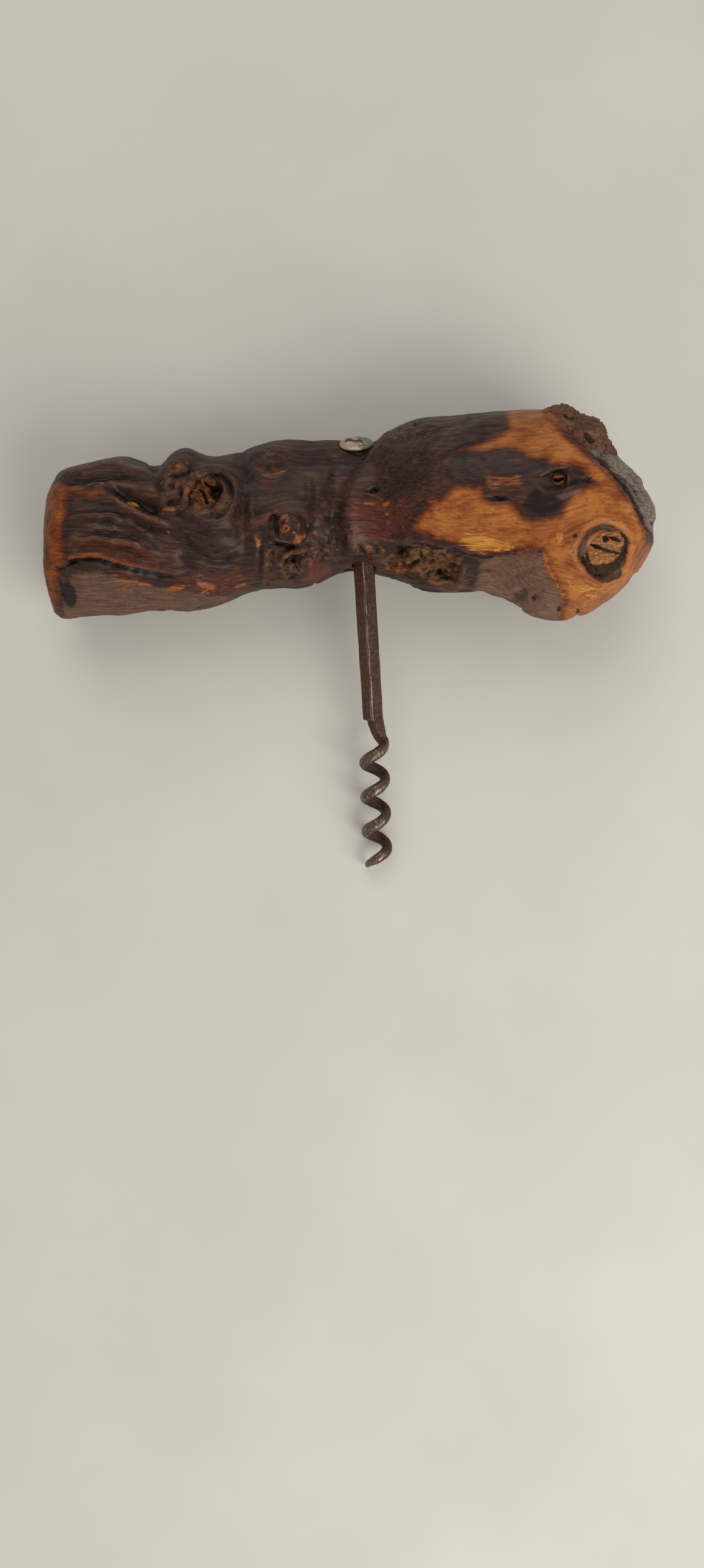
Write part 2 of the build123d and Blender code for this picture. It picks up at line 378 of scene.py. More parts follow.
@dataclass(frozen=True)
class VarnishedVine:
    """Vine root, debarked, varnished by hand, with painted shade darkening its folds."""

    name: str = "varnished_vine_root"
    fibre_mm: float = 0.55
    blotch_mm: float = 8.0
    varnish: float = 0.2

    def make(self) -> bpy.types.Material:
        """Builds the material.

        The real finish is an uneven, thin coat of old varnish. The eye gets near-black brown in the
        folds, which is painted shade, amber and honey where hands have worn the high wood, ridge
        tops lightened by wear and a painted highlight, fine fibres that run round the knots, and a
        soft greyish shine on the dark swells, from the coat and from a painted grey sheen.
        """
        m, shader = new_material(self.name)
        grain = stored(m, "grain", vector=True)
        objects = add_node(m, "TexCoord").outputs["Object"]
        fibre = pattern(m, grain, (9.0, self.fibre_mm, self.fibre_mm), 1.0, 6.0, 0.62, 0.3)
        streak = pattern(m, grain, (10.0, 1.5, 1.5), 1.0, 6.0, 0.64, 0.8)
        blotch = pattern(m, objects, (self.blotch_mm,) * 3, detail=6.0, rough=0.62)
        spot = pattern(m, objects, (2.2, 1.6, 1.6), detail=4.0, rough=0.62)
        speck = pattern(m, objects, (0.8, 0.8, 0.8), detail=3.0, rough=0.7)
        relief = stored(m, "relief")
        bark = self.frayed(m, "bark", speck, 0.5)
        rotten = stored(m, "rotten")

        dark = ramp(m, fibre, {0.28: "#180c09", 0.46: "#2b1a16", 0.6: "#3a2721", 0.78: "#523a2f"})
        brown = ramp(m, fibre, {0.28: "#27130d", 0.5: "#42271d", 0.75: "#62402f"})
        wood = blend(m, band(m, blotch, 0.44, 0.62), dark, brown)
        red = ramp(m, fibre, {0.3: "#2e130d", 0.5: "#4e261c", 0.75: "#71402e"})
        wood = blend(m, self.frayed(m, "red", streak, 1.0), wood, red)
        hide = ramp(m, fibre, {0.25: "#4a3228", 0.5: "#6e5041", 0.75: "#8f6c5a"})
        wood = blend(m, sums(m, "MULTIPLY", bark, stored(m, "bark")), wood, hide)
        # grey bark, and a painted grey sheen on the upper swells and along the crest
        grey_and_sheen_tone = ramp(m, fibre, {0.3: "#3c312b", 0.5: "#74645a", 0.72: "#9c8b7d"})
        grey_and_sheen_share = sums(m, "MULTIPLY", self.frayed(m, "grey_and_sheen", fibre, 0.6), stored(m, "grey_and_sheen"))
        wood = blend(m, grey_and_sheen_share, wood, grey_and_sheen_tone)

        wood = self.worn_wood(m, wood, fibre, streak, blotch, spot, bark)
        ember = ramp(m, fibre, {0.3: "#5e2b15", 0.52: "#8d4b25", 0.8: "#b5713d"})
        wood = blend(m, self.frayed(m, "ember", streak, 1.1), wood, ember)
        crumb = ramp(m, spot, {0.32: "#281912", 0.45: "#513727", 0.57: "#785238", 0.74: "#9c6e44"})
        wood = blend(m, sums(m, "MULTIPLY", rotten, 0.85), wood, crumb)
        # painted shade: this mask marks truly dark wood and also blackens the creases, hollows and
        # bore, where shade falls
        dark_and_shade_share = sums(m, "MULTIPLY", self.frayed(m, "dark_and_shade", streak, 0.5), 0.88)
        wood = blend(m, dark_and_shade_share, wood, linear("#150d0c"))
        # painted shade: the relief's hollows are darkened towards near black, a little less where
        # the wood is rotten
        hollow = band(m, relief, -0.1, -0.85)
        gloom = sums(m, "SUBTRACT", 0.8, sums(m, "MULTIPLY", rotten, 0.35))
        wood = blend(m, sums(m, "MULTIPLY", hollow, gloom), wood, linear("#0d0705"))
        wood = blend(m, sums(m, "MULTIPLY", stored(m, "rings"), 0.62), wood, linear("#2f170d"))
        # painted highlight and wear: ridge tops of the relief are lightened in streaks
        crest = sums(m, "MULTIPLY", band(m, relief, 0.2, 0.9), band(m, streak, 0.4, 0.6))
        wood = blend(m, sums(m, "MULTIPLY", crest, 0.35), wood, linear("#7d4f34"))

        grit = sums(m, "MULTIPLY", speck, sums(m, "ADD", sums(m, "MULTIPLY", bark, 0.7), 0.35))
        height = sums(m, "ADD", fibre, grit)
        bump = add_node(m, "Bump", {}, {"Strength": 0.5, "Distance": 0.00024, "Height": height})
        dull = add_node(
            m, "MapRange", {}, {"Value": streak, "From Min": 0.3, "From Max": 0.7,
                                "To Min": 0.4, "To Max": 0.6}
        ).outputs[0]
        dull = sums(m, "ADD", dull, sums(m, "MULTIPLY", sums(m, "ADD", bark, rotten), 0.2), True)
        gloss = sums(m, "SUBTRACT", self.varnish, sums(m, "MULTIPLY", rotten, self.varnish), True)
        feed(m, shader, {
            "Base Color": wood, "Roughness": dull, "Normal": bump, "IOR": 1.5,
            "Coat Weight": gloss, "Coat Roughness": 0.28, "Coat IOR": 1.5,
            "Specular IOR Level": 0.12,
        })
        return m

    def worn_wood(
        self,
        m: bpy.types.Material,
        wood: bpy.types.NodeSocket,
        fibre: bpy.types.NodeSocket,
        streak: bpy.types.NodeSocket,
        blotch: bpy.types.NodeSocket,
        spot: bpy.types.NodeSocket,
        bark: bpy.types.NodeSocket,
    ) -> bpy.types.NodeSocket:
        """Lays the stain's wearing away over the dark wood: first red, then amber, then honey.

        Args:
            m: The material.
            wood: The colour so far.
            fibre: Fine noise along the grain.
            streak: Coarser noise along the grain.
            blotch: Large even noise.
            spot: Noise of about two millimetres.
            bark: Where grey bark lies beside it, which has no dark stain at its edge.

        Returns:
            The colour with the worn wood in it.
        """
        mask = stored(m, "worn")
        clouded = sums(m, "ADD", sums(m, "MULTIPLY", mask, 0.85), self.centred(m, blotch, 0.9))
        moved = sums(m, "ADD", clouded, self.centred(m, streak, 1.6))
        tone = sums(m, "ADD", clouded, self.centred(m, streak, 0.7))
        tone = sums(m, "ADD", tone, self.centred(m, fibre, 0.6))
        tone = sums(m, "ADD", tone, sums(m, "MULTIPLY", bark, 0.4))
        honey = ramp(
            m, tone,
            {0.34: "#38180d", 0.5: "#552611", 0.66: "#723819", 0.82: "#8c4d22", 1.0: "#a8682f"},
        )
        mottle = sums(m, "MULTIPLY", band(m, spot, 0.55, 0.66), band(m, blotch, 0.46, 0.56))
        honey = blend(m, sums(m, "MULTIPLY", mottle, 0.5), honey, linear("#54290f"))
        cover = sums(m, "MULTIPLY", band(m, moved, 0.3, 0.48), band(m, mask, 0.02, 0.15))
        wood = blend(m, cover, wood, honey)
        gold = ramp(m, fibre, {0.3: "#94581f", 0.52: "#b37531", 0.75: "#d6a05a"})
        return blend(m, self.frayed(m, "gold", fibre, 0.9), wood, gold)

    @staticmethod
    def centred(m: bpy.types.Material, noise_value: object, reach: float) -> bpy.types.NodeSocket:
        """Turns noise round 0.5 into noise round 0, with a reach."""
        return sums(m, "MULTIPLY", sums(m, "SUBTRACT", noise_value, 0.5), reach)

    def frayed(
        self, m: bpy.types.Material, name: str, breakup: bpy.types.NodeSocket, reach: float
    ) -> bpy.types.NodeSocket:
        """Breaks the soft edge of a stored mask into the uneven edge that wear leaves."""
        mask = stored(m, name)
        moved = sums(m, "ADD", mask, self.centred(m, breakup, reach * 2))
        return sums(m, "MULTIPLY", band(m, moved, 0.3, 0.62), band(m, mask, 0.03, 0.2))


@dataclass(frozen=True)
class DeadWood:
    """Dead core of a side shoot, dry, cracked and hardly varnished."""

    name: str = "dead_knot_wood"

    def make(self) -> bpy.types.Material:
        """Builds the material.

        Weathered end grain. The eye gets a matt golden tan face with torn fibres, cracks and pits
        blackened by painted shade, and a dirty rim.
        """
        m, shader = new_material(self.name)
        objects = add_node(m, "TexCoord").outputs["Object"]
        fibre = pattern(m, objects, (3.2, 0.45, 0.8), detail=6.0, rough=0.68, twist=0.5)
        cloud = pattern(m, objects, (2.6, 2.6, 2.6), detail=5.0, rough=0.6)
        pale = ramp(m, fibre, {0.3: "#4c2e19", 0.44: "#7b502d", 0.58: "#a26d3e", 0.76: "#c8945c"})
        dim = ramp(m, fibre, {0.3: "#2a160d", 0.5: "#5a3019", 0.75: "#96602f"})
        dull = sums(m, "ADD", band(m, cloud, 0.55, 0.7), stored(m, "aged"), True)
        wood = blend(m, dull, pale, dim)
        dirt = band(m, sums(m, "ADD", stored(m, "rim"), sums(m, "SUBTRACT", cloud, 0.5)), 0.2, 0.75)
        wood = blend(m, sums(m, "MULTIPLY", dirt, 0.92), wood, linear("#1e120c"))
        # painted shade: the cracks, pits and hollows of the relief are darkened towards black
        hollow = band(m, stored(m, "relief"), -0.05, -0.7)
        wood = blend(m, sums(m, "MULTIPLY", hollow, 0.94), wood, linear("#0f0805"))
        bump = add_node(m, "Bump", {}, {"Strength": 0.7, "Distance": 0.0003, "Height": fibre})
        feed(m, shader, {
            "Base Color": wood, "Roughness": 0.6, "Normal": bump, "IOR": 1.45,
            "Coat Weight": 0.06, "Coat Roughness": 0.4, "Specular IOR Level": 0.15,
        })
        return m


@dataclass(frozen=True)
class ForgedSteel:
    """Hand-forged steel with thin brown rust, rubbed on its corners and turns."""

    name: str = "forged_rusty_steel"

    def make(self) -> bpy.types.Material:
        """Builds the material.

        Old fire scale and rust over iron. The eye gets grey-brown dull metal with rust freckles,
        dark pits, and thin bright lines where corks and hands have rubbed it.
        """
        m, shader = new_material(self.name)
        objects = add_node(m, "TexCoord").outputs["Object"]
        freckle = pattern(m, objects, (0.8, 0.8, 0.8), detail=6.0, rough=0.68)
        cloud = pattern(m, objects, (5.0, 5.0, 5.0), detail=5.0, rough=0.6)
        drawn = pattern(m, stored(m, "along", vector=True), (6.0, 0.35, 0.35), 1.0, 5.0, 0.6)
        scale = ramp(m, freckle, {0.3: "#261711", 0.5: "#432b20", 0.68: "#604636"})
        rust = ramp(m, freckle, {0.35: "#3e2318", 0.55: "#5c3826", 0.75: "#84583f"})
        reddened = sums(m, "ADD", band(m, cloud, 0.48, 0.68), stored(m, "rusty"), True)
        base = blend(m, reddened, scale, rust)
        rubbed = ramp(m, drawn, {0.3: "#40342c", 0.48: "#66574b", 0.62: "#917f6f", 0.8: "#c6b5a2"})
        worn = band(
            m, sums(m, "ADD", stored(m, "worn"), sums(m, "SUBTRACT", drawn, 0.5)), 0.35, 0.75
        )
        colour = blend(m, worn, base, rubbed)
        hollow = band(m, stored(m, "relief"), -0.1, -0.9)
        colour = blend(m, sums(m, "MULTIPLY", hollow, 0.8), colour, linear("#160d08"))
        metal = add_node(m, "MapRange", {}, {"Value": worn, "To Min": 0.3, "To Max": 0.9})
        rough = add_node(m, "MapRange", {}, {"Value": worn, "To Min": 0.6, "To Max": 0.24})
        height = sums(m, "ADD", freckle, sums(m, "MULTIPLY", drawn, 0.6))
        bump = add_node(m, "Bump", {}, {"Strength": 0.6, "Distance": 0.00018, "Height": height})
        feed(m, shader, {
            "Base Color": colour, "Metallic": metal, "Roughness": rough, "Normal": bump
        })
        return m


@dataclass(frozen=True)
class WhiteMetal:
    """Soft white metal, tin and lead, hammered over the tang."""

    name: str = "hammered_white_metal"

    def make(self) -> bpy.types.Material:
        """Builds the material.

        Dull, dented metal. The eye gets a soft broad shine, with one side painted lighter and
        pinkish and the other grey-green as painted light and shade, a painted orange reflection of
        the wood low on the rim of its left side, painted shade in its cracks, and the tang's rusty
        end beside its middle.
        """
        m, shader = new_material(self.name)
        objects = add_node(m, "TexCoord").outputs["Object"]
        dents = pattern(m, objects, (1.6, 1.6, 1.6), detail=3.0)
        fine = pattern(m, objects, (0.35, 0.35, 0.35), detail=5.0, rough=0.65)
        side = stored(m, "lit_side")
        drawn = pattern(m, objects, (2.4, 0.4, 0.4), detail=5.0, rough=0.6)
        # painted light and shade: the metal is lighter and pinkish on one side, grey-green on the
        # other
        tint = ramp(m, side, {0.3: "#b39d89", 0.7: "#827e70"})
        tint = blend(m, band(m, drawn, 0.5, 0.66), tint, linear("#c9baa6"))
        colour = blend(m, sums(m, "MULTIPLY", band(m, fine, 0.5, 0.72), 0.5), tint,
                       linear("#5c5244"))
        # painted reflection: the wood's orange on the lower rim
        colour = blend(m, stored(m, "brim"), colour, linear("#7a4520"))
        rusty = stored(m, "tang")
        colour = blend(m, rusty, colour, ramp(m, fine, {0.35: "#27120c", 0.7: "#4a2518"}))
        # painted shade: the cracks and dents of the relief are darkened
        hollow = band(m, stored(m, "relief"), -0.05, -0.7)
        colour = blend(m, sums(m, "MULTIPLY", hollow, 0.9), colour, linear("#1a130d"))
        bump = add_node(m, "Bump", {}, {"Strength": 0.45, "Distance": 0.0002, "Height": dents})
        rough = add_node(m, "MapRange", {}, {"Value": fine, "To Min": 0.42, "To Max": 0.62})
        metal = add_node(m, "MapRange", {}, {"Value": rusty, "To Min": 0.7, "To Max": 0.0})
        feed(m, shader, {
            "Base Color": colour, "Metallic": metal, "Roughness": rough, "Normal": bump
        })
        return m


@dataclass(frozen=True)
class BoardPaint:
    """Plain matt off-white paint."""

    name: str = "matt_board_paint"

    def make(self) -> bpy.types.Material:
        """Builds the material: matt paint that only shows the light's slow falling off."""
        m, shader = new_material(self.name)
        objects = add_node(m, "TexCoord").outputs["Object"]
        cloud = pattern(m, objects, (70.0, 70.0, 70.0), detail=3.0)
        tone = ramp(m, cloud, {0.3: "#c6c3bc", 0.7: "#cecbc4"})
        feed(m, shader, {"Base Color": tone, "Roughness": 0.75})
        return m


def dress(piece: bpy.types.Object, material: bpy.types.Material) -> None:
    """Gives a piece its one material."""
    piece.data.materials.clear()
    piece.data.materials.append(material)


# --- carving strokes -------------------------------------------------------------------------

# Strokes are drawn on a sheet 34 mm above the board as the eye sees the root from above it, in
# millimetres from the screw's crossing.
EYE = np.array([1.05, -37.64, 333.6])
SHEET_HEIGHT = 34.0


def as_drawn(places: np.ndarray) -> np.ndarray:
    """Where places of the row frame fall on the drawing sheet."""
    share = (EYE[2] - SHEET_HEIGHT) / (EYE[2] - places[:, 2])
    return EYE[:2] + (places[:, :2] - EYE[:2]) * share[:, None] - CROSSING[:2]


class Cut(Enum):
    """What one pass of the carving tool leaves behind."""

    RIDGE = "ridge"
    HOLLOW = "hollow"
    CREASE = "crease"
    STEP = "step"


class Tint(Enum):
    """What colours the wood, each kept as one attribute of the mesh."""

    WORN = "worn"
    GOLD = "gold"
    # dark wood, and painted shade in the creases, hollows and bore
    DARK_AND_SHADE = "dark_and_shade"
    EMBER = "ember"
    BARK = "bark"
    GREY_AND_SHEEN = "grey_and_sheen"
    RED = "red"


# short names for the tables of strokes
RIDGE, HOLLOW, CREASE, STEP = Cut
WORN, GOLD, DARK_AND_SHADE, EMBER, BARK, GREY_AND_SHEEN, RED = Tint


@dataclass(frozen=True)
class Stroke:
    """One pass of the tool, with its width and height in millimetres.

    A STEP stands higher on the left of its path. A path of one point is a bump or a dent, or with
    a radius a ring round that point, whose height over its width is the oval.
    """

    cut: Cut
    path: tuple[Point, ...]
    width: float
    height: float
    tint: Tint | None = None
    strength: float = 1.0
    radius: float = 0.0
    oval: float = 1.0


@dataclass(frozen=True)
class Patch:
    """A coloured region, by the points of its outline."""

    tint: Tint
    outline: tuple[Point, ...]
    soft: float = 1.2
    strength: float = 1.0


@dataclass(frozen=True)
class Decay:
    """A region of crumbled wood: how deep it has sunk and how high its crumbs stand."""

    outline: tuple[Point, ...]
    sunk: float
    crumbs: float
    colour: float = 1.0
    soft: float = 1.0


def rounded(path: Sequence[Point], closed: bool = False) -> np.ndarray:
    """Rounds a path by cutting its corners twice.

    Args:
        path: The corners.
        closed: Whether the last one joins the first.

    Returns:
        The points of the rounded path.
    """
    points = np.array(path, float)
    for _ in range(2):
        after = np.roll(points, -1, axis=0) if closed else points[1:]
        before = points if closed else points[:-1]
        cut = np.stack([0.75 * before + 0.25 * after, 0.25 * before + 0.75 * after], 1)
        cut = cut.reshape(-1, 2)
        points = cut if closed else np.vstack([points[:1], cut, points[-1:]])
    return points


def along_path(places: np.ndarray, points: np.ndarray) -> tuple[np.ndarray, np.ndarray, np.ndarray]:
    """Measures places against a path of straight runs.

    Args:
        places: Two columns, one row for each place.
        points: The path's points, at least two.

    Returns:
        The distance, the share of the path's length reached, and +1 on its left or -1.
    """
    best = np.full(len(places), 1e9)
    share, side = np.zeros(len(places)), np.ones(len(places))
    lengths = np.maximum(np.linalg.norm(np.diff(points, axis=0), axis=1), 1e-6)
    before = 0.0
    for start, end, length in zip(points, points[1:], lengths):
        run = (end - start) / length
        t = np.clip((places - start) @ run, 0, length)
        away = places - start - t[:, None] * run
        distance = np.linalg.norm(away, axis=1)
        nearer = distance < best
        best = np.where(nearer, distance, best)
        share = np.where(nearer, (before + t) / lengths.sum(), share)
        cross = run[0] * away[:, 1] - run[1] * away[:, 0]
        side = np.where(nearer, np.where(cross < 0, -1.0, 1.0), side)
        before += length
    return best, share, side


def nearby(places: np.ndarray, points: np.ndarray, reach: float) -> np.ndarray:
    """The numbers of the places that lie within reach of a path's box."""
    low, high = points.min(0) - reach, points.max(0) + reach
    return np.flatnonzero(((places > low) & (places < high)).all(1))


def inside_outline(places: np.ndarray, outline: Sequence[Point], soft: float) -> np.ndarray:
    """How far inside an outline each place is, from 0 outside to 1 inside over a soft edge."""
    points = rounded(outline, closed=True)
    out = np.zeros(len(places))
    near = nearby(places, points, soft)
    if not len(near):
        return out
    spots = places[near]
    within = np.zeros(len(spots), bool)
    for (ax, ay), (bx, by) in zip(points, np.roll(points, -1, axis=0)):
        if ay == by:
            continue
        crosses = (ay > spots[:, 1]) != (by > spots[:, 1])
        within ^= crosses & (spots[:, 0] < ax + (spots[:, 1] - ay) * (bx - ax) / (by - ay))
    distance = along_path(spots, np.vstack([points, points[:1]]))[0]
    out[near] = smooth(np.where(within, distance, -distance), -soft, soft)
    return out


def stroke_height(stroke: Stroke, places: np.ndarray) -> tuple[np.ndarray, np.ndarray]:
    """Height that a stroke gives each place, and how strongly it colours it.

    Args:
        stroke: The stroke.
        places: Two columns, on the drawing sheet.

    Returns:
        The height in millimetres, and a share from 0 to 1.
    """
    height, colour = np.zeros(len(places)), np.zeros(len(places))
    points = np.array(stroke.path, float)
    reach = stroke.radius * 1.6 + stroke.width * (6.5 if stroke.cut is STEP else 2.6)
    near = nearby(places, points, reach)
    if not len(near):
        return height, colour
    spots = places[near]
    fade, side = np.ones(len(spots)), np.ones(len(spots))
    if len(points) == 1:
        away = (spots - points[0]) * np.array([1.0, stroke.oval])
        distance = np.abs(np.linalg.norm(away, axis=1) - stroke.radius)
    else:
        path = rounded(stroke.path)
        distance, share, side = along_path(spots, path)
        length = np.linalg.norm(np.diff(path, axis=0), axis=1).sum()
        fade = smooth(np.minimum(share, 1 - share) * length, -0.5, min(4.0, 0.35 * length))
    width = stroke.width * (0.45 + 0.55 * fade)
    bell = np.exp(-((distance / width) ** 2)) * fade
    colour[near] = bell
    if stroke.cut is STEP:
        wide = np.exp(-((distance / (2.6 * stroke.width)) ** 2)) * fade
        height[near] = 0.5 * stroke.height * side * np.tanh(1.6 * distance / stroke.width) * wide
    elif stroke.cut is CREASE:
        height[near] = -stroke.height * fade * np.clip(1 - distance / (1.7 * width), 0, 1) ** 1.3
    else:
        height[near] = (1 if stroke.cut is RIDGE else -1) * stroke.height * bell
    return height, colour


@dataclass(frozen=True)
class Swirl:
    """A place that the fibres run round, as they do round a knot."""

    centre: Point
    radius: float


# --- the handle ------------------------------------------------------------------------------


@dataclass
class VineRoot:
    """The gnarled handle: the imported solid's copy, remeshed finely and carved stroke by stroke."""

    skin_mm: float = 0.58
    fibre_ridge_mm: float = 0.13
    lump_mm: float = 0.3
    ring_mm: float = 1.5
    pith: tuple[float, float] = (26.0, 22.0)
    swirls: tuple[Swirl, ...] = (
        Swirl((-64.5, -7.3), 2.4), Swirl((-38.0, 0.8), 5.6), Swirl((-35.0, -9.0), 3.6),
        Swirl((-22.8, 8.8), 3.4), Swirl((-17.5, -7.8), 4.2), Swirl((-16.3, -16.0), 3.8),
        Swirl((50.5, 4.8), 3.4), Swirl((62.5, -14.0), 7.0), Swirl((3.4, 2.3), 1.0),
        Swirl((0.5, -13.0), 2.0),
    )
    forms: tuple[Stroke, ...] = (
        # left lobe: the folds that sweep from its end towards the left knot
        Stroke(RIDGE, ((-79, 5.2), (-72, 7.2), (-63, 9.0), (-56, 8.6), (-52, 6.5)), 2.6, 0.8),
        Stroke(HOLLOW, ((-77, 3.9), (-70, 5.0), (-63, 5.9), (-54, 5.4)), 1.5, 0.8),
        Stroke(RIDGE, ((-70, 3.0), (-66, 3.6), (-63.5, 4.0), (-58, 3.2), (-53, 1.4), (-50, -0.6)),
            1.3, 1.1),
        Stroke(HOLLOW, ((-65.5, 2.6), (-61, 1.2), (-57, -0.6), (-52.5, -2.8), (-49.8, -4.2)),
            2.0, 1.9),
        Stroke(RIDGE, ((-79, 1.2), (-75, 2.3), (-70, 2.0), (-66, 1.9), (-63.5, 0.9), (-61, -0.9),
            (-58.5, -2.8), (-55, -4.4), (-51, -5.9), (-47.5, -6.8)), 1.6, 1.7),
        Stroke(HOLLOW, ((-62.5, -2.6), (-58.5, -5.0), (-54, -7.2), (-49, -9.0), (-46, -11)),
            1.4, 1.2),
        Stroke(RIDGE, ((-76, -5.2), (-70, -4.6), (-66, -4.0), (-62, -4.3), (-59, -5.6), (-56, -7.5),
            (-52, -10)), 1.1, 0.9),
        Stroke(RIDGE, ((-64.5, -7.3),), 3.2, 0.6, oval=2.6),
        Stroke(HOLLOW, ((-73, -8.6), (-66, -9.2), (-60, -9.0), (-55, -11)), 1.0, 0.9),
        Stroke(RIDGE, ((-76, -9.8), (-70, -9.7), (-64, -10.2), (-57, -12), (-50, -14)), 1.3, 0.9),
        Stroke(HOLLOW, ((-74, -12.0), (-67, -12.2), (-60, -13.6), (-53, -15.6)), 1.2, 0.8),
        Stroke(RIDGE, ((-76, -15.5), (-71, -14.0), (-67, -14.3), (-62, -15.9), (-57, -17),
            (-50, -18.2), (-44, -18.6)), 1.4, 1.1),
        Stroke(RIDGE, ((-75, -21), (-66, -20.5), (-56, -21.8), (-46, -22.5), (-38, -22)), 2.8, 0.9),
        # the knob, the left knot's rim and the brow under it
        Stroke(HOLLOW, ((-53.5, 9.5), (-51.5, 5.5), (-50.6, 1.0)), 1.6, 1.5),
        Stroke(RIDGE, ((-45.2, 9.2),), 3.4, 1.5),
        Stroke(RIDGE, ((-38.0, 0.8),), 1.5, 1.3, radius=6.6, oval=1.05),
        Stroke(RIDGE, ((-51, -4.2), (-49.3, -2.5), (-46.8, -1.9), (-44.8, -2.5), (-42.6, -4.6)),
            1.0, 1.7),
        # belly: a smooth boss with a fold round its lower side
        Stroke(HOLLOW, ((-46.5, -6.5), (-46, -10.5), (-44.6, -14.5), (-43.5, -18)), 1.8, 1.0),
        Stroke(RIDGE, ((-36, -8.6),), 6.0, 2.0, oval=1.1),
        Stroke(HOLLOW, ((-44.8, -8.5), (-43.6, -11.8), (-40, -15.0), (-35, -15.8), (-30.6, -13.6)),
            1.0, 1.1),
        Stroke(HOLLOW, ((-31, 4), (-30.2, -2), (-29.6, -8), (-29.0, -14)), 1.8, 0.9),
        Stroke(RIDGE, ((-27.6, 4), (-27.4, -4), (-27.0, -11), (-26.6, -18)), 1.2, 0.6),
        Stroke(HOLLOW, ((-30.5, 12.5), (-29.5, 8), (-28.5, 4)), 1.6, 1.1),
        # upper eye knob
        Stroke(RIDGE, ((-22.6, 8.8),), 2.2, 0.8, radius=4.4, oval=1.3),
        Stroke(HOLLOW, ((-26.8, 7.4), (-22.8, 8.4), (-18.8, 9.3)), 1.5, 0.7),
        # burl boss, its pocket and the spiral knot
        Stroke(RIDGE, ((-17.6, -7.6),), 3.6, 2.6),
        Stroke(HOLLOW, ((-22.6, -3.0), (-22.3, -7.0), (-21.9, -9.6)), 1.0, 1.4),
        Stroke(HOLLOW, ((-16.0, -3.4), (-13.9, -6.4), (-13.6, -10.4)), 1.0, 1.3),
        Stroke(RIDGE, ((-24.4, -9.6), (-23.8, -14), (-24.2, -18.5), (-26, -22)), 1.3, 0.7),
        Stroke(RIDGE, ((-19.8, -17.6), (-19.4, -14.8), (-17.4, -13.2), (-14.8, -12.5),
            (-12, -13.2)), 0.9, 1.7),
        Stroke(HOLLOW, ((-16.8, -16.4),), 2.2, 2.0, oval=0.9),
        Stroke(RIDGE, ((-13.6, -14.5), (-12.4, -17), (-13.6, -20.4)), 1.2, 1.3),
        # neck
        Stroke(HOLLOW, ((-13.1, 8), (-12.9, 0), (-13.1, -6)), 1.0, 0.5),
        Stroke(RIDGE, ((-10.6, 6), (-10.9, -2), (-11.3, -8)), 1.4, 0.4),
        Stroke(HOLLOW, ((-6.8, 13), (-6.6, 5), (-6.8, -3), (-7.2, -9)), 1.6, 0.6),
        Stroke(STEP, ((6.5, 18.5), (3.2, 13.0), (0.0, 8.6), (-2.5, 4.5), (-3.6, 0.6), (-4.6, -3.2),
            (-5.0, -7.4), (-4.3, -11.4), (-2.6, -15.6)), 2.0, 2.6),
        Stroke(RIDGE, ((-3.0, -7.8), (-2.2, -11), (0.2, -14.4)), 2.0, 1.0),
        # right lobe: long diagonal swells above, and the lip over the eroded hollow
        Stroke(RIDGE, ((4, 8.5), (12, 11), (22, 15.4), (34, 20)), 1.6, 0.45),
        Stroke(HOLLOW, ((12, 8.6), (20, 11.6), (28, 15.2), (37, 19.4)), 1.3, 0.55),
        Stroke(HOLLOW, ((6, 13.5), (14, 15.5), (23, 18.4), (30, 20.4)), 1.2, 0.5),
        Stroke(RIDGE, ((8, -9.4), (14, -10.6), (22, -12.0), (30, -13.9), (38, -14.2)), 1.5, 1.5),
        Stroke(HOLLOW, ((4.5, -14.6), (12, -15.4), (18, -16.8), (25, -19.2)), 2.8, 2.3),
        Stroke(HOLLOW, ((7, -13.2), (12, -13.4), (17, -13.6), (22, -14.2), (28, -15)), 0.9, 1.8),
        Stroke(RIDGE, ((26.4, -15.8), (25.4, -19), (25.2, -23)), 1.1, 1.5),
        Stroke(HOLLOW, ((38, -26.8), (40.2, -24.6), (43, -23)), 1.4, 1.4),
        # eye knot's lids, big knot's collar
        Stroke(RIDGE, ((43, 4.6), (47, 7.7), (51, 8.5), (55.4, 7.3), (60.5, 4.8)), 1.2, 0.7),
        Stroke(RIDGE, ((43, 4.4), (47, 2.1), (50.6, 1.5), (54, 2.4), (60, 4.8)), 1.2, 0.7),
        Stroke(RIDGE, ((62.0, -12.9),), 1.7, 0.8, radius=7.4, oval=0.96),
        # crest between the honey face and the root stub
        Stroke(STEP, ((73.6, -11.5), (71.2, -4.6), (67.6, 0.9), (64, 5.2), (60, 9.2), (56, 12.6),
            (52, 15.7), (48.6, 18.4), (45.6, 22.5)), 1.1, 4.0),
        Stroke(RIDGE, ((58.8, 12.9), (64, 9.9), (68.6, 6.4), (73, 2.6)), 0.9, 0.9),
        Stroke(HOLLOW, ((56.5, 15.4), (60.5, 12.4), (64.5, 10.6)), 1.0, 2.0),
        Stroke(RIDGE, ((50.6, 20.0),), 3.2, 2.2),
        Stroke(RIDGE, ((59.4, 17.2),), 3.2, 2.0),
        Stroke(HOLLOW, ((54.8, 18.8),), 1.6, 1.0),
    )
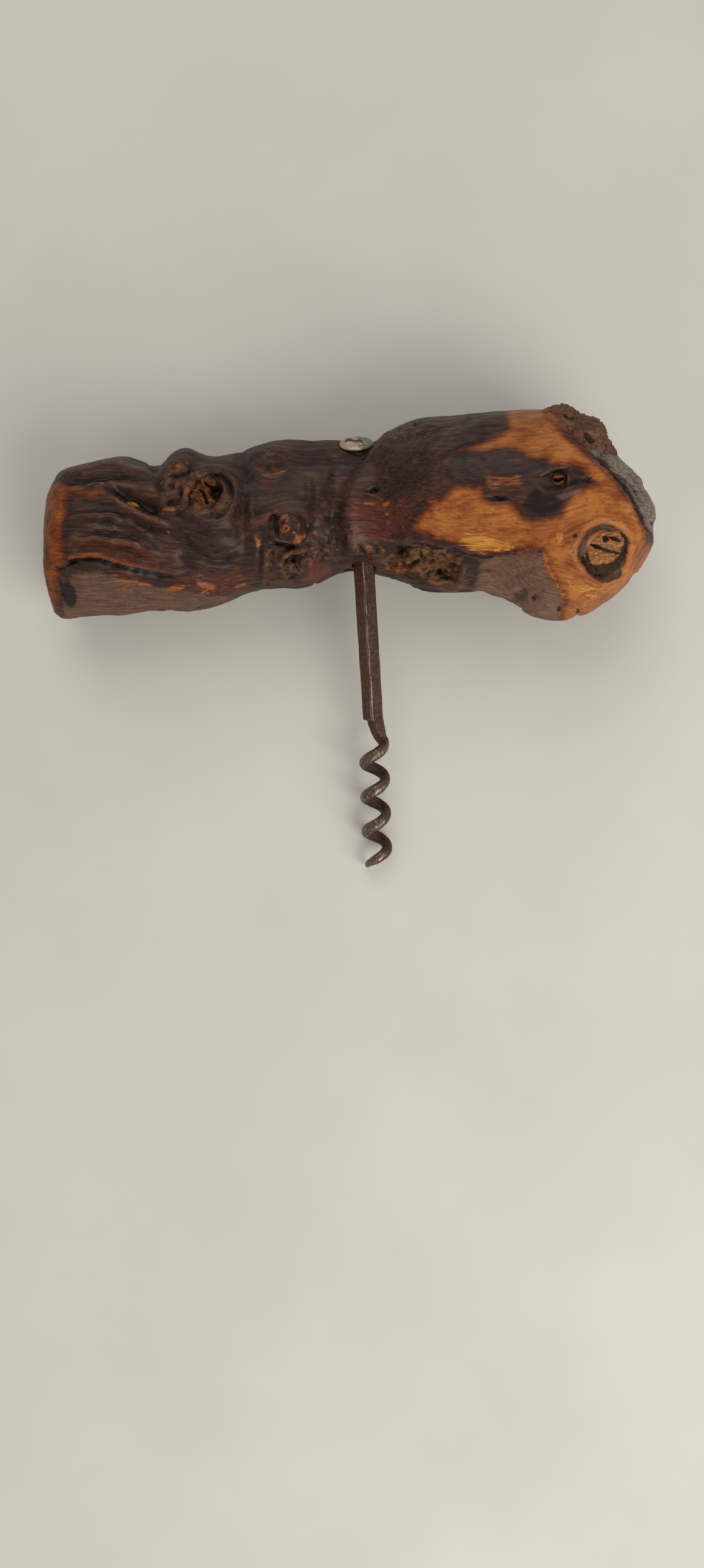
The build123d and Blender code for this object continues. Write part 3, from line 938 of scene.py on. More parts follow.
    # the dark tint on the crease and hollow strokes below is painted shade in their cuts
    details: tuple[Stroke, ...] = (
        # left lobe
        Stroke(CREASE, ((-77, 3.4), (-70, 4.3), (-65, 5.2), (-58, 5.6), (-52, 4.6)), 0.8, 0.7,
            DARK_AND_SHADE, 0.6),
        Stroke(RIDGE, ((-70, 3.3), (-67.4, 4.0), (-64.6, 4.3)), 0.8, 0.2, EMBER, 0.6),
        Stroke(RIDGE, ((-66, 4.0), (-60, 3.9), (-55, 2.2)), 0.7, 0.2, BARK, 0.5),
        Stroke(RIDGE, ((-66, 2.0), (-63.5, 1.0), (-61, -0.7), (-57.6, -3.0), (-53, -5.0),
            (-48, -6.6)), 0.8, 0.2, BARK, 0.62),
        # painted highlight and wear: lighter honey along the main ridge's top
        Stroke(RIDGE, ((-78, 1.2), (-75, 2.0), (-70, 1.9), (-65.6, 1.7), (-62, -0.2)), 1.9, 0.1,
            WORN, 0.56),
        Stroke(CREASE, ((-62.5, 1.8), (-59, 0.4), (-55.5, -1.6), (-51, -4.0)), 1.3, 0.4, DARK_AND_SHADE, 0.6),
        Stroke(RIDGE, ((-59.6, -0.7), (-57.3, -1.5), (-55.3, -2.6)), 0.4, 1.0, GOLD, 0.85),
        Stroke(RIDGE, ((-51, 3.0), (-49.6, 4.2)), 0.25, 0.3, GREY_AND_SHEEN, 1.0),
        Stroke(RIDGE, ((-64.8, -2.8), (-62.8, -3.3)), 0.9, 0.1, WORN, 0.75),
        Stroke(RIDGE, ((-70, -4.7), (-66, -4.1), (-62, -4.4), (-59, -5.7)), 0.6, 0.3, WORN, 0.62),
        Stroke(RIDGE, ((-59, -5.8), (-56, -7.7), (-53, -9.6)), 0.55, 0.4, WORN, 0.95),
        Stroke(CREASE, ((-72, -5.8), (-67, -5.5), (-62, -6.0), (-59.6, -8.2)), 0.5, 0.7, DARK_AND_SHADE, 0.5),
        Stroke(CREASE, ((-69, -7.0), (-65, -6.4), (-62, -7.0), (-65, -8.2), (-69, -7.6)), 0.4, 0.5,
            DARK_AND_SHADE, 0.5),
        Stroke(CREASE, ((-71, -8.8), (-66, -9.0), (-60.6, -8.8)), 0.5, 0.6, DARK_AND_SHADE, 0.5),
        Stroke(RIDGE, ((-76, -9.9), (-70, -9.8), (-63, -10.1)), 0.45, 0.2, WORN, 0.6),
        Stroke(RIDGE, ((-64.4, -10.9), (-62.2, -11.3)), 0.7, 0.1, EMBER, 0.55),
        Stroke(RIDGE, ((-57.4, -11.4),), 0.8, 0.3, EMBER, 0.75),
        Stroke(RIDGE, ((-49.0, -8.9),), 0.5, 0.3, EMBER, 0.8),
        Stroke(RIDGE, ((-77, -16.2), (-74.4, -15.2), (-72, -14.5), (-68.6, -14.2), (-65.6, -15.0),
            (-61.6, -16.2), (-57.6, -17.3), (-54, -18.0)), 1.1, 0.35, WORN, 0.9),
        Stroke(RIDGE, ((-75, -15.2), (-72, -14.4), (-68.6, -14.2), (-65.6, -15.0), (-61.6, -16.2)),
            0.5, 0.1, EMBER, 0.6),
        Stroke(CREASE, ((-76.5, -18.4), (-74.2, -16.6), (-72, -15.7), (-69, -15.4), (-66.5, -15.8),
            (-62, -17.1), (-58, -18.1), (-54, -19.1), (-50, -19.8), (-46, -20)), 0.55, 1.9,
            DARK_AND_SHADE, 1.0),
        Stroke(CREASE, ((-78.6, -17.0), (-76.8, -17.7), (-75.0, -17.8)), 0.4, 0.7, DARK_AND_SHADE, 0.9),
        Stroke(CREASE, ((-76.4, -18.4), (-76.2, -23), (-75.2, -26.6), (-74.2, -28.6)), 0.5, 0.7,
            DARK_AND_SHADE, 0.55),
        Stroke(RIDGE, ((-66, -17.9), (-60, -19.0), (-54, -20.6)), 0.7, 0.2, RED, 0.9),
        Stroke(RIDGE, ((-64.6, -20.0), (-60, -20.9), (-55, -21.7), (-51.4, -22.1)), 0.4, 0.25,
            EMBER, 0.95),
        Stroke(RIDGE, ((-50, -23.0), (-47, -22.7), (-43.8, -22.3)), 0.5, 0.25, EMBER, 1.0),
        Stroke(RIDGE, ((-42.6, -21.6), (-40, -22.4), (-36.2, -23.0)), 0.65, 0.25, EMBER, 1.0),
        Stroke(RIDGE, ((-41, -23.4), (-37.8, -24.1)), 0.35, 0.2, EMBER, 0.9),
        Stroke(RIDGE, ((-34, -23.2), (-31, -22.3), (-27.6, -21.6)), 0.35, 0.2, EMBER, 0.8),
        Stroke(RIDGE, ((-39.2, -18.4), (-36, -18.3)), 0.25, 0.15, EMBER, 0.8),
        Stroke(RIDGE, ((-60.6, -23.0), (-59.2, -23.5)), 0.35, 0.15, EMBER, 0.7),
        # knob and left knot
        Stroke(RIDGE, ((-46.9, 8.9),), 1.0, 0.4, EMBER, 0.6),
        Stroke(RIDGE, ((-44.5, 9.6), (-44.3, 8.8)), 0.55, 0.3, EMBER, 0.75),
        Stroke(RIDGE, ((-48.8, 8.4),), 0.6, 0.4, EMBER, 0.5),
        Stroke(RIDGE, ((-44.4, 3.0), (-44.3, 1.6)), 0.55, 0.3, EMBER, 0.9),
        Stroke(CREASE, ((-50.2, 6.4), (-47, 5.4), (-44, 6.4), (-42, 8.6)), 0.7, 1.2, DARK_AND_SHADE, 0.8),
        Stroke(HOLLOW, ((-48.0, -0.6),), 1.1, 1.4, DARK_AND_SHADE, 1.0),
        Stroke(HOLLOW, ((-48.0, 3.4),), 0.9, 1.0, DARK_AND_SHADE, 0.9),
        Stroke(CREASE, ((-46.2, 4.4), (-45.6, 1.6), (-46.0, -0.6)), 0.5, 0.9, DARK_AND_SHADE, 0.8),
        Stroke(CREASE, ((-41.0, 4.8), (-38.4, 6.2), (-35.0, 5.4), (-33.2, 2.4), (-33.0, -0.8)),
            0.7, 1.1, DARK_AND_SHADE, 0.9),
        Stroke(CREASE, ((-42.8, 3.2), (-43.2, 0), (-42.4, -3.0)), 0.6, 1.0, DARK_AND_SHADE, 0.9),
        Stroke(CREASE, ((-42.0, -3.6), (-38, -4.6), (-33.6, -3.2)), 0.6, 1.0, DARK_AND_SHADE, 0.9),
        Stroke(RIDGE, ((-50.6, -3.4), (-49.2, -2.4), (-46.8, -1.9), (-44.8, -2.5), (-43.0, -4.1)),
            0.7, 0.3, EMBER, 0.85),
        # belly and waist
        Stroke(CREASE, ((-38.5, -8.6), (-35.5, -7.0), (-32.8, -8.4), (-33.4, -10.4)), 0.5, 0.5,
            DARK_AND_SHADE, 0.35),
        Stroke(CREASE, ((-40.6, -12.6), (-36, -13.8), (-32, -12.2)), 0.5, 0.6, DARK_AND_SHADE, 0.35),
        Stroke(RIDGE, ((-27.0, -2.4), (-27.4, -5.4), (-27.7, -8.0)), 0.25, 0.3, RED, 1.0),
        Stroke(RIDGE, ((-26.9, -9.2), (-26.2, -10.6), (-26.0, -12.3)), 0.65, 0.3, EMBER, 1.0),
        Stroke(CREASE, ((-22.7, -9.9), (-22.2, -14), (-22.4, -19)), 0.5, 0.6, DARK_AND_SHADE, 0.5),
        Stroke(CREASE, ((-25.6, -10), (-25.4, -15), (-26.4, -20)), 0.5, 0.4, DARK_AND_SHADE, 0.3),
        Stroke(RIDGE, ((-24.3, -10), (-23.8, -14), (-24.2, -18), (-25.8, -21.5)), 0.8, 0.2,
            BARK, 0.45),
        # upper eye knob
        Stroke(HOLLOW, ((-26.4, 7.7), (-22.8, 8.6), (-19.2, 9.3)), 1.5, 0.3, DARK_AND_SHADE, 0.6),
        Stroke(RIDGE, ((-25, 10.7), (-22.6, 11.7), (-20.2, 11.0)), 0.6, 0.3, EMBER, 0.7),
        Stroke(RIDGE, ((-25.6, 5.8), (-22.2, 6.2), (-19.6, 7.3), (-17.6, 7.7)), 0.5, 0.3,
            EMBER, 0.62),
        # burl boss with its buds
        Stroke(RIDGE, ((-19.1, -4.8),), 0.4, 0.45, EMBER, 1.0, 0.6),
        Stroke(RIDGE, ((-19.2, -7.6),), 0.4, 0.45, EMBER, 1.0, 0.7),
        Stroke(HOLLOW, ((-19.1, -4.8),), 0.28, 0.3, DARK_AND_SHADE, 0.7),
        Stroke(HOLLOW, ((-19.2, -7.6),), 0.28, 0.3, DARK_AND_SHADE, 0.7),
        Stroke(RIDGE, ((-16.3, -9.9),), 1.3, 0.7, EMBER, 1.0),
        Stroke(RIDGE, ((-17.2, -8.6),), 0.5, 0.4, EMBER, 0.9),
        Stroke(RIDGE, ((-15.9, -6.6),), 0.55, 0.35, EMBER, 0.85),
        Stroke(RIDGE, ((-14.6, -9.4),), 0.5, 0.3, EMBER, 0.8),
        Stroke(HOLLOW, ((-22.0, -4.7),), 0.7, 1.2, DARK_AND_SHADE, 1.0),
        Stroke(RIDGE, ((-21.5, -3.2),), 0.6, 0.3, EMBER, 0.6),
        Stroke(RIDGE, ((-23, -9.9), (-21, -10.5), (-19, -10.8), (-17, -11.5)), 0.35, 0.6,
            GREY_AND_SHEEN, 0.8),
        Stroke(CREASE, ((-23.6, -10.8), (-21, -11.6), (-18.4, -12.0), (-15.4, -12.2)), 1.0, 2.0,
            DARK_AND_SHADE, 0.85),
        Stroke(RIDGE, ((-19.4, -19.2), (-20.0, -16.8), (-19.4, -14.9), (-17.3, -13.4),
            (-14.4, -12.8)), 0.5, 0.8, BARK, 0.9),
        Stroke(CREASE, ((-18.6, -18.6), (-19.0, -16.4), (-18.2, -14.9), (-16.4, -14.2),
            (-14.6, -14.6), (-14.0, -16.4)), 0.4, 0.9, DARK_AND_SHADE, 0.8),
        Stroke(HOLLOW, ((-17.2, -15.8),), 0.9, 1.2, DARK_AND_SHADE, 0.9),
        Stroke(RIDGE, ((-14.4, -14.8), (-13.8, -16.2), (-15.0, -17.4)), 0.6, 0.8, EMBER, 0.35),
        Stroke(RIDGE, ((-19, -18.0), (-17.4, -18.1), (-15.9, -18.5)), 0.35, 0.9, GREY_AND_SHEEN, 0.7),
        Stroke(HOLLOW, ((-17.4, -19.9),), 1.3, 1.2, DARK_AND_SHADE, 0.8, oval=1.6),
        # neck and the right lobe's edge
        Stroke(CREASE, ((-12.9, -0.6), (-13.0, -4), (-13.0, -9)), 0.5, 0.6, DARK_AND_SHADE, 0.5),
        Stroke(RIDGE, ((-12.6, -8), (-12.0, -12), (-11.2, -14)), 0.35, 0.5, GREY_AND_SHEEN, 0.5),
        Stroke(CREASE, ((-10.4, -9), (-9.5, -12), (-8.2, -15)), 0.5, 0.7, DARK_AND_SHADE, 0.5),
        Stroke(CREASE, ((-7.4, -6), (-6.9, -9), (-6.4, -13)), 0.5, 0.8, DARK_AND_SHADE, 0.6),
        Stroke(RIDGE, ((-11.5, -8.4),), 0.7, 0.3, EMBER, 0.7),
        Stroke(CREASE, ((-1.2, -11.2), (0.2, -13), (1.7, -15.4)), 0.45, 1.2, DARK_AND_SHADE, 0.9),
        Stroke(HOLLOW, ((3.5, 2.2),), 0.9, 2.0, DARK_AND_SHADE, 1.0, oval=1.3),
        Stroke(CREASE, ((0.4, 1.9), (2.0, 2.4), (3.6, 2.4)), 0.4, 0.7, DARK_AND_SHADE, 0.8),
        Stroke(HOLLOW, ((14.3, 18.8),), 1.0, 0.8, DARK_AND_SHADE, 0.7, oval=1.6),
        Stroke(RIDGE, ((0.4, -0.9), (2.2, -1.2), (4.4, -1.3)), 0.5, 0.1, EMBER, 0.8),
        Stroke(RIDGE, ((5.0, -1.9), (6.0, -1.2), (7.4, -0.6)), 0.4, 0.1, EMBER, 0.8),
        Stroke(RIDGE, ((5.8, -2.7), (7.4, -3.6)), 0.4, 0.1, EMBER, 0.7),
        Stroke(RIDGE, ((14.8, -1.0), (18, -0.9), (21, -0.6)), 0.45, 0.1, WORN, 0.8),
        Stroke(HOLLOW, ((31.6, 0.5), (34.0, 0.5), (37, 0.0), (39, -0.3)), 0.55, 1.2, DARK_AND_SHADE, 1.0),
        Stroke(RIDGE, ((30, -0.8), (34, -1.0), (39, -1.3)), 0.6, 0.4),
        # eroded hollow
        Stroke(HOLLOW, ((8.4, -13.3), (10.4, -13.0), (12.2, -13.7)), 1.0, 1.8, DARK_AND_SHADE, 1.0),
        Stroke(HOLLOW, ((21.6, -13.4), (24, -13.9), (26.2, -14.4)), 0.9, 1.6, DARK_AND_SHADE, 1.0),
        Stroke(HOLLOW, ((18.8, -16.8), (20.8, -19.4), (23.2, -22)), 1.1, 1.0, DARK_AND_SHADE, 0.8),
        Stroke(CREASE, ((11.5, -11.0), (16, -11.6), (22, -12.9), (27, -14.1), (31, -14.9),
            (36, -15.1)), 0.4, 0.7, DARK_AND_SHADE, 0.9),
        Stroke(CREASE, ((15.4, -12), (15.6, -14), (15.3, -15.6)), 0.35, 1.0, DARK_AND_SHADE, 1.0),
        Stroke(RIDGE, ((0.8, -12.2), (2.0, -12.6), (3.6, -13.1)), 1.1, 0.5, EMBER, 1.0),
        Stroke(RIDGE, ((4.0, -11.9), (5.6, -12.9), (6.2, -14)), 0.7, 0.5, EMBER, 0.8),
        Stroke(HOLLOW, ((4.3, -13.7),), 0.7, 0.9, DARK_AND_SHADE, 0.8),
        Stroke(RIDGE, ((5, -16.4), (7, -17.3), (9, -17.8), (12.2, -18.2), (14.4, -19)), 0.7, 0.8,
            EMBER, 0.9),
        Stroke(RIDGE, ((15.8, -20.3), (18.5, -21.0), (21.4, -22.7)), 0.8, 0.5, EMBER, 0.62),
        Stroke(CREASE, ((27, -18.6), (31, -18.2), (36, -18.8)), 0.4, 0.4, DARK_AND_SHADE, 0.4),
        Stroke(CREASE, ((26.4, -21.0), (30, -20.8), (34, -21.6)), 0.4, 0.4, DARK_AND_SHADE, 0.4),
        Stroke(RIDGE, ((37.6, -22.6), (40, -22.9), (43, -22.9)), 0.4, 0.1, RED, 1.0),
        Stroke(HOLLOW, ((44.4, -25.0),), 0.8, 0.8, DARK_AND_SHADE, 0.8),
        Stroke(HOLLOW, ((50.4, -28.0),), 0.8, 0.9, DARK_AND_SHADE, 0.9),
        Stroke(HOLLOW, ((55.4, -28.4),), 0.7, 0.7, DARK_AND_SHADE, 0.8),
        # eye knot and big knot
        Stroke(CREASE, ((44.4, 4.9), (47, 6.6), (51, 7.1), (55.8, 6.1)), 0.5, 0.8, DARK_AND_SHADE, 0.9),
        Stroke(CREASE, ((44.4, 4.4), (47, 3.0), (50.6, 2.7), (54.5, 4.4), (58.5, 5.2)), 0.6, 0.9,
            DARK_AND_SHADE, 0.9),
        Stroke(RIDGE, ((45.4, 6.4), (48, 7.3), (52, 7.6), (56.4, 6.6)), 0.3, 0.2, GREY_AND_SHEEN, 0.6),
        Stroke(HOLLOW, ((58.2, 4.9),), 0.7, 0.8, DARK_AND_SHADE, 0.9),
        Stroke(HOLLOW, ((61.9, -13.0),), 1.2, 0.5, DARK_AND_SHADE, 0.7, 5.5, 0.95),
        Stroke(RIDGE, ((66.6, -6.2), (68.4, -9.4), (68.9, -13.4), (68, -17.6)), 0.8, 0.7),
        Stroke(HOLLOW, ((54.6, -9.4),), 0.6, 0.6, DARK_AND_SHADE, 0.9),
        Stroke(HOLLOW, ((54.6, -13.2),), 0.6, 0.4, DARK_AND_SHADE, 0.7),
        Stroke(RIDGE, ((49.6, -8.0), (50.4, -9.6), (50.9, -12.2)), 0.7, 0.1, GOLD, 1.0),
        Stroke(RIDGE, ((51.0, -7.8), (51.4, -9.6), (51.8, -11.6)), 0.4, 0.1, GOLD, 0.9),
        Stroke(RIDGE, ((51.6, -20.0), (54, -22.2), (56.6, -24)), 0.5, 0.1, GOLD, 0.8),
        Stroke(RIDGE, ((56, -23.4), (58, -22.6), (60.4, -22.6)), 0.6, 0.1, GOLD, 1.0),
        Stroke(RIDGE, ((56.6, -24.8), (58.6, -24.4), (61, -25)), 0.5, 0.1, GOLD, 0.9),
        # crest, bark strip and stub
        Stroke(CREASE, ((73.2, -9.5), (71.3, -4.2), (68.4, 0.8), (65, 5.2), (61, 9.2),
            (57.6, 12.4)), 0.45, 0.8, DARK_AND_SHADE, 0.85),
        Stroke(CREASE, ((72.9, -4), (70.8, 0.6), (67.8, 4.4), (63.6, 8.4)), 0.4, 0.7, DARK_AND_SHADE, 0.7),
        Stroke(CREASE, ((73.8, -2), (72.4, 1.2), (69.4, 4.8), (65.4, 8.6)), 0.35, 0.5, DARK_AND_SHADE, 0.5),
        # painted highlight: a grey line along the crest's edge
        Stroke(RIDGE, ((72.2, -9), (70.4, -4.2), (67.4, 0.4), (63.6, 4.8), (59, 9.0), (54.6, 12.8),
            (50, 16.6)), 0.45, 0.35, GREY_AND_SHEEN, 0.6),
        Stroke(HOLLOW, ((57, 17.4), (58.8, 15.4), (60.2, 13.8)), 0.9, 1.8, DARK_AND_SHADE, 1.0),
        Stroke(RIDGE, ((58.6, 16.9),), 0.7, 0.5, GOLD, 0.6),
        Stroke(CREASE, ((50.4, 22.0), (52.8, 20.2), (55.2, 19.6)), 0.5, 0.8, DARK_AND_SHADE, 0.7),
        Stroke(HOLLOW, ((74.4, -6.4),), 0.9, 0.8, DARK_AND_SHADE, 0.9),
    )
    patches: tuple[Patch, ...] = (
        Patch(WORN, ((-85, 6), (-78, 5.2), (-72, 3.4), (-67, 2.2), (-71, 0.8), (-74, 0.4),
            (-74.6, -6), (-75.4, -12), (-74, -15), (-76, -18), (-77, -22), (-77, -31), (-85, -31)),
            2.3, 0.8),
        # painted sheen: the left lobe's upper edge is greyed as a reflection
        Patch(GREY_AND_SHEEN, ((-79, 5.8), (-72, 7.4), (-62, 8.8), (-55, 7.0), (-50, 6), (-50, 12), (-62, 13),
            (-80, 9)), 1.8, 0.4),
        Patch(GREY_AND_SHEEN, ((-70.5, -7), (-67, -5.6), (-61.5, -6), (-59.8, -8), (-63, -9), (-69, -8.8)),
            1.2, 0.3),
        Patch(DARK_AND_SHADE, ((-75.8, -21.6), (-73.8, -21.0), (-72.2, -23.5), (-71.8, -27), (-74, -28),
            (-75.6, -25.5)), 1.1, 0.8),
        Patch(DARK_AND_SHADE, ((-73.5, -0.6), (-66, 0.4), (-62.5, -0.8), (-59, -4), (-62, -5), (-66, -3.6),
            (-73.5, -4)), 1.2, 0.55),
        Patch(RED, ((-75, -10), (-60, -10.5), (-52, -14), (-50, -18), (-58, -17.4), (-66, -14),
            (-75, -14)), 1.5, 0.8),
        Patch(BARK, ((-74.6, -18.4), (-68, -17.6), (-60, -19.6), (-50, -22.4), (-36, -24),
            (-28, -26), (-50, -33), (-78, -33)), 1.4, 0.62),
        Patch(RED, ((-30, -17), (-36, -19), (-50, -21), (-40, -25), (-28, -24)), 2.0, 0.7),
        Patch(RED, ((-13, -15), (-9, -15.6), (-6.5, -18), (-10, -22), (-16, -24), (-15, -20.5),
            (-12.6, -17)), 1.0, 0.9),
        Patch(RED, ((-4, 0.6), (12, 0.4), (14, -4), (12, -9), (4, -10.5), (-3, -10)), 2.2, 0.85),
        Patch(BARK, ((-5, -8), (0, -9), (8, -9), (22, -11.8), (33, -14.4), (30, -15.4), (12, -11.6),
            (3, -11.6), (-0.5, -15.6), (-3.6, -14)), 1.4, 0.5),
        # painted sheen: the right lobe's upper swells are greyed as a reflection
        Patch(GREY_AND_SHEEN, ((2, 10), (8, 14.4), (16, 13), (26, 16.4), (36, 20), (36, 25), (8, 24),
            (-2, 14)), 2.5, 0.35),
        # honey wood of the right lobe, and what is left dark in it
        Patch(WORN, ((12.3, -7), (14, -4.4), (17, -2.8), (19, -0.8), (21.4, 0.6), (24.6, 3.6),
            (29, 4.1), (31.6, 3.2), (30.6, 1.4), (33, -0.8), (38.4, -0.8), (40, -3), (42, -5),
            (46.6, -5), (50.4, -3.6), (51.8, -1.2), (55, 2.2), (58.8, 3.4), (58, 6.2), (54, 8.8),
            (50.6, 8.8), (48.4, 8.2), (47, 10), (45, 9.6), (42, 10), (39.8, 11.8), (37.4, 13),
            (33, 11.8), (27, 11.9), (21, 10.2), (25, 12.9), (30, 14.7), (35, 16.6), (37.8, 18.6),
            (36.6, 24), (48, 24), (51, 17.4), (56, 13.2), (61, 9), (66, 3.6), (70, -1.6),
            (72.6, -8), (76, -14), (72, -26), (60, -33), (50.6, -33), (51, -28), (52, -26),
            (50.8, -23), (47.9, -19), (46.9, -16), (46, -13.6), (42, -13), (37, -14), (31, -14),
            (26, -12.6), (18, -10), (13.8, -9)), 2.2, 1.0),
        Patch(EMBER, ((30.5, 6.6), (36, 7.2), (43, 6.6), (43, 4.4), (40.6, 2.2), (35.6, 1.6),
            (31.4, 2.6)), 1.6, 0.4),
        Patch(EMBER, ((37, 6.6), (43, 6.8), (42.6, 4.8), (37, 5.2)), 1.3, 0.46),
        Patch(EMBER, ((36, 3.8), (41, 4.2), (41.4, 2.6), (38, 1.8)), 1.3, 0.46),
        Patch(GOLD, ((25, -10.4), (28, -8.4), (33, -9.4), (38, -10.6), (39.6, -12.6), (36, -13.7),
            (31, -13.7), (26, -12.2)), 1.8, 0.72),
        Patch(RED, ((13.5, -6), (18, -4), (24, -6.4), (26, -9), (22, -10.6), (15, -9)), 2.0, 0.3),
        Patch(DARK_AND_SHADE, ((40, -1), (43.6, 2.4), (46, 3), (52, 1), (50.6, -3.2), (46, -4.6),
            (41.4, -3.6)), 1.3, 0.6),
        Patch(BARK, ((31, -15.0), (37, -14.6), (42, -13.2), (47.0, -13.4), (47.6, -16.4),
            (48.8, -19.6), (51.4, -23.4), (52.4, -26), (51, -29), (50, -33), (38, -30), (29, -26),
            (29.4, -19)), 1.9, 0.95),
        Patch(BARK, ((26.4, -15.6), (31, -15.2), (31, -26), (24, -26), (25, -19)), 1.4, 0.36),
        Patch(DARK_AND_SHADE, ((-31, -7), (-30.6, 9), (-26, 6), (-22, 2), (-14, 5), (-5, 9), (-5, -4),
            (-8, -9), (-14, -2), (-22, -2), (-26, -8)), 2.4, 0.46),
        Patch(GREY_AND_SHEEN, ((57.4, 12.8), (63, 8.8), (68, 3), (71.6, -3), (73.4, -10), (77, -8), (76, 0),
            (73, 4), (66, 10.4), (60, 13.6)), 0.8, 0.95),
        Patch(WORN, ((70.6, 5), (73.6, 1.6), (75, -2), (79, -3), (78, 8), (72, 10)), 1.2, 0.6),
        Patch(RED, ((46, 21.4), (50, 18.2), (56.6, 13.4), (64.4, 10.6), (67, 12), (63, 20),
            (54, 26), (46, 26)), 1.0, 0.8),
        Patch(BARK, ((47, 21), (50.6, 18.6), (57, 14), (64, 11.2), (67, 12.6), (63, 21), (54, 27),
            (46, 27)), 1.0, 0.68),
        Patch(DARK_AND_SHADE, ((57.0, -16), (60.0, -18.6), (64, -19.2), (66.8, -17.6), (66.4, -20.4),
            (62, -21.4), (57.6, -19.4)), 0.9, 0.85),
        Patch(BARK, ((63.6, -5.6), (66.4, -5.4), (69.2, -8.6), (69.8, -14), (67.8, -19.4),
            (65.6, -18.6), (66.8, -13.6), (66.0, -9.4), (63.4, -7)), 0.9, 0.9),
    )
    decays: tuple[Decay, ...] = (
        Decay(((6, -15.6), (8.4, -12.6), (13, -11.8), (20, -12.8), (26.6, -14.2), (25.2, -17),
            (24.4, -22.4), (20, -22), (12.6, -18), (7, -17)), 0.3, 1.0, 0.9),
        Decay(((-50, 8), (-47, 10.4), (-43, 10), (-42.6, 4), (-43.4, -2), (-49.4, -2.2),
            (-50.4, 2)), 0.2, 0.6, 0.5),
        Decay(((-42.8, 4.6), (-38, 6.6), (-33.6, 3.6), (-32.8, -2.6), (-37, -4.8), (-42.8, -3.6)),
            0.5, 0.7, 0.7),
        Decay(((-20, -17), (-18.6, -13.6), (-14.4, -12.6), (-12.2, -15.6), (-14, -20),
            (-17.4, -21.6), (-20.6, -20)), 0.1, 0.4, 0.35),
        Decay(((-26, 7.4), (-22.6, 10), (-19.4, 9.8), (-19.6, 8), (-23, 6.8)), 0.1, 0.5, 0.6, 0.7),
        Decay(((-12, -8), (-6, -6), (-5.4, -13), (-4, -17), (-11, -15), (-21, -20), (-24, -24),
            (-26, -20), (-22.6, -10)), 0.0, 0.5, 0.12, 1.5),
        Decay(((46.6, 21.2), (50, 18.4), (56.4, 13.6), (62.6, 10.8), (66, 12), (63, 19), (55, 24),
            (47, 25)), 0.0, 0.8, 0.3),
    )

    def build(self, node: bpy.types.Object, finish: bpy.types.Material) -> bpy.types.Object:
        """Carves the handle over its solid.

        Args:
            node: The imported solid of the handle.
            finish: The wood's material.

        Returns:
            The finished piece.
        """
        root = bpy.data.objects.new("vine_root", node.data.copy())
        bpy.context.scene.collection.objects.link(root)
        outward(root)
        remesh(root, self.skin_mm)
        skin = Skin(root)
        self.carve(skin)
        self.colour(skin)
        dress(root, finish)
        return root

    def free_wood(self, skin: Skin) -> np.ndarray:
        """Is 0 in the bore, in the washer's seat and low on the board's side, and 1 elsewhere."""
        clear = smooth(distance_to_axis(skin.at), 3.15, 4.4)
        return clear * smooth(skin.at[:, 2], 1.0, 6.0)

    def wandering(self, skin: Skin) -> np.ndarray:
        """The drawing sheet's coordinates with a hand's unsteadiness, more down the sides."""
        drawn = as_drawn(skin.at)
        unseen = smooth(skin.normal[:, 2], 0.12, -0.25)
        for column, seed in ((0, 11.0), (1, 23.0)):
            slow = skin.noise((6.0, 6.0, 6.0), seed)
            quick = skin.noise((1.9, 1.9, 1.9), seed + 3)
            drawn[:, column] += (0.6 + 3.4 * unseen) * slow + (0.28 + 0.9 * unseen) * quick
        return drawn

    def carve(self, skin: Skin) -> None:
        """Carves the large forms, then the crumbled wood and fine cuts, and last the fibres."""
        free = self.free_wood(skin)
        upper = smooth(skin.normal[:, 2], -0.15, 0.2)
        sheet = self.wandering(skin)
        total = sum(stroke_height(s, sheet)[0] for s in self.forms)
        skin.push((total * upper + self.lumps(skin) + self.under_folds(skin) * (1 - upper)) * free)
        upper = smooth(skin.normal[:, 2], -0.15, 0.15)
        sheet = self.wandering(skin)
        total = sum(stroke_height(s, sheet)[0] for s in self.details)
        skin.push((total + self.crumbled(skin, sheet)) * upper * free)
        fibres = noise_at(self.grain(skin) / np.array([12.0, 1.4, 1.4]) + 5.1, 2)
        skin.push((0.5 - np.abs(fibres)) * 2 * self.fibre_ridge_mm * free)

    def lumps(self, skin: Skin) -> np.ndarray:
        """Slow swellings along the root that no hand carved."""
        return self.lump_mm * skin.noise((9.0, 5.0, 5.0), 1.0, 2)

    def under_folds(self, skin: Skin) -> np.ndarray:
        """Long folds of the wood on the side that lies on the board."""
        folds = np.abs(skin.noise((17.0, 4.5, 4.5), 8.0, 2))
        return 0.9 * smooth(folds, 0.0, 0.35) - 0.5

    def crumbled(self, skin: Skin, sheet: np.ndarray) -> np.ndarray:
        """Relief of the rotten and bark-covered regions."""
        coarse = np.abs(skin.noise((2.4, 1.9, 1.9), 4.0, 2))
        fine = skin.noise((1.1, 1.0, 1.0), 6.0, 2)
        total = np.zeros(skin.count)
        for decay in self.decays:
            inside = inside_outline(sheet, decay.outline, decay.soft)
            total += inside * (decay.crumbs * (0.9 - 2.2 * coarse + 0.35 * fine) - decay.sunk)
        for patch in self.patches:
            if patch.tint is BARK:
                inside = patch.strength * inside_outline(sheet, patch.outline, 1.5)
                total += inside * (0.12 * fine - 0.25 * coarse)
        return total

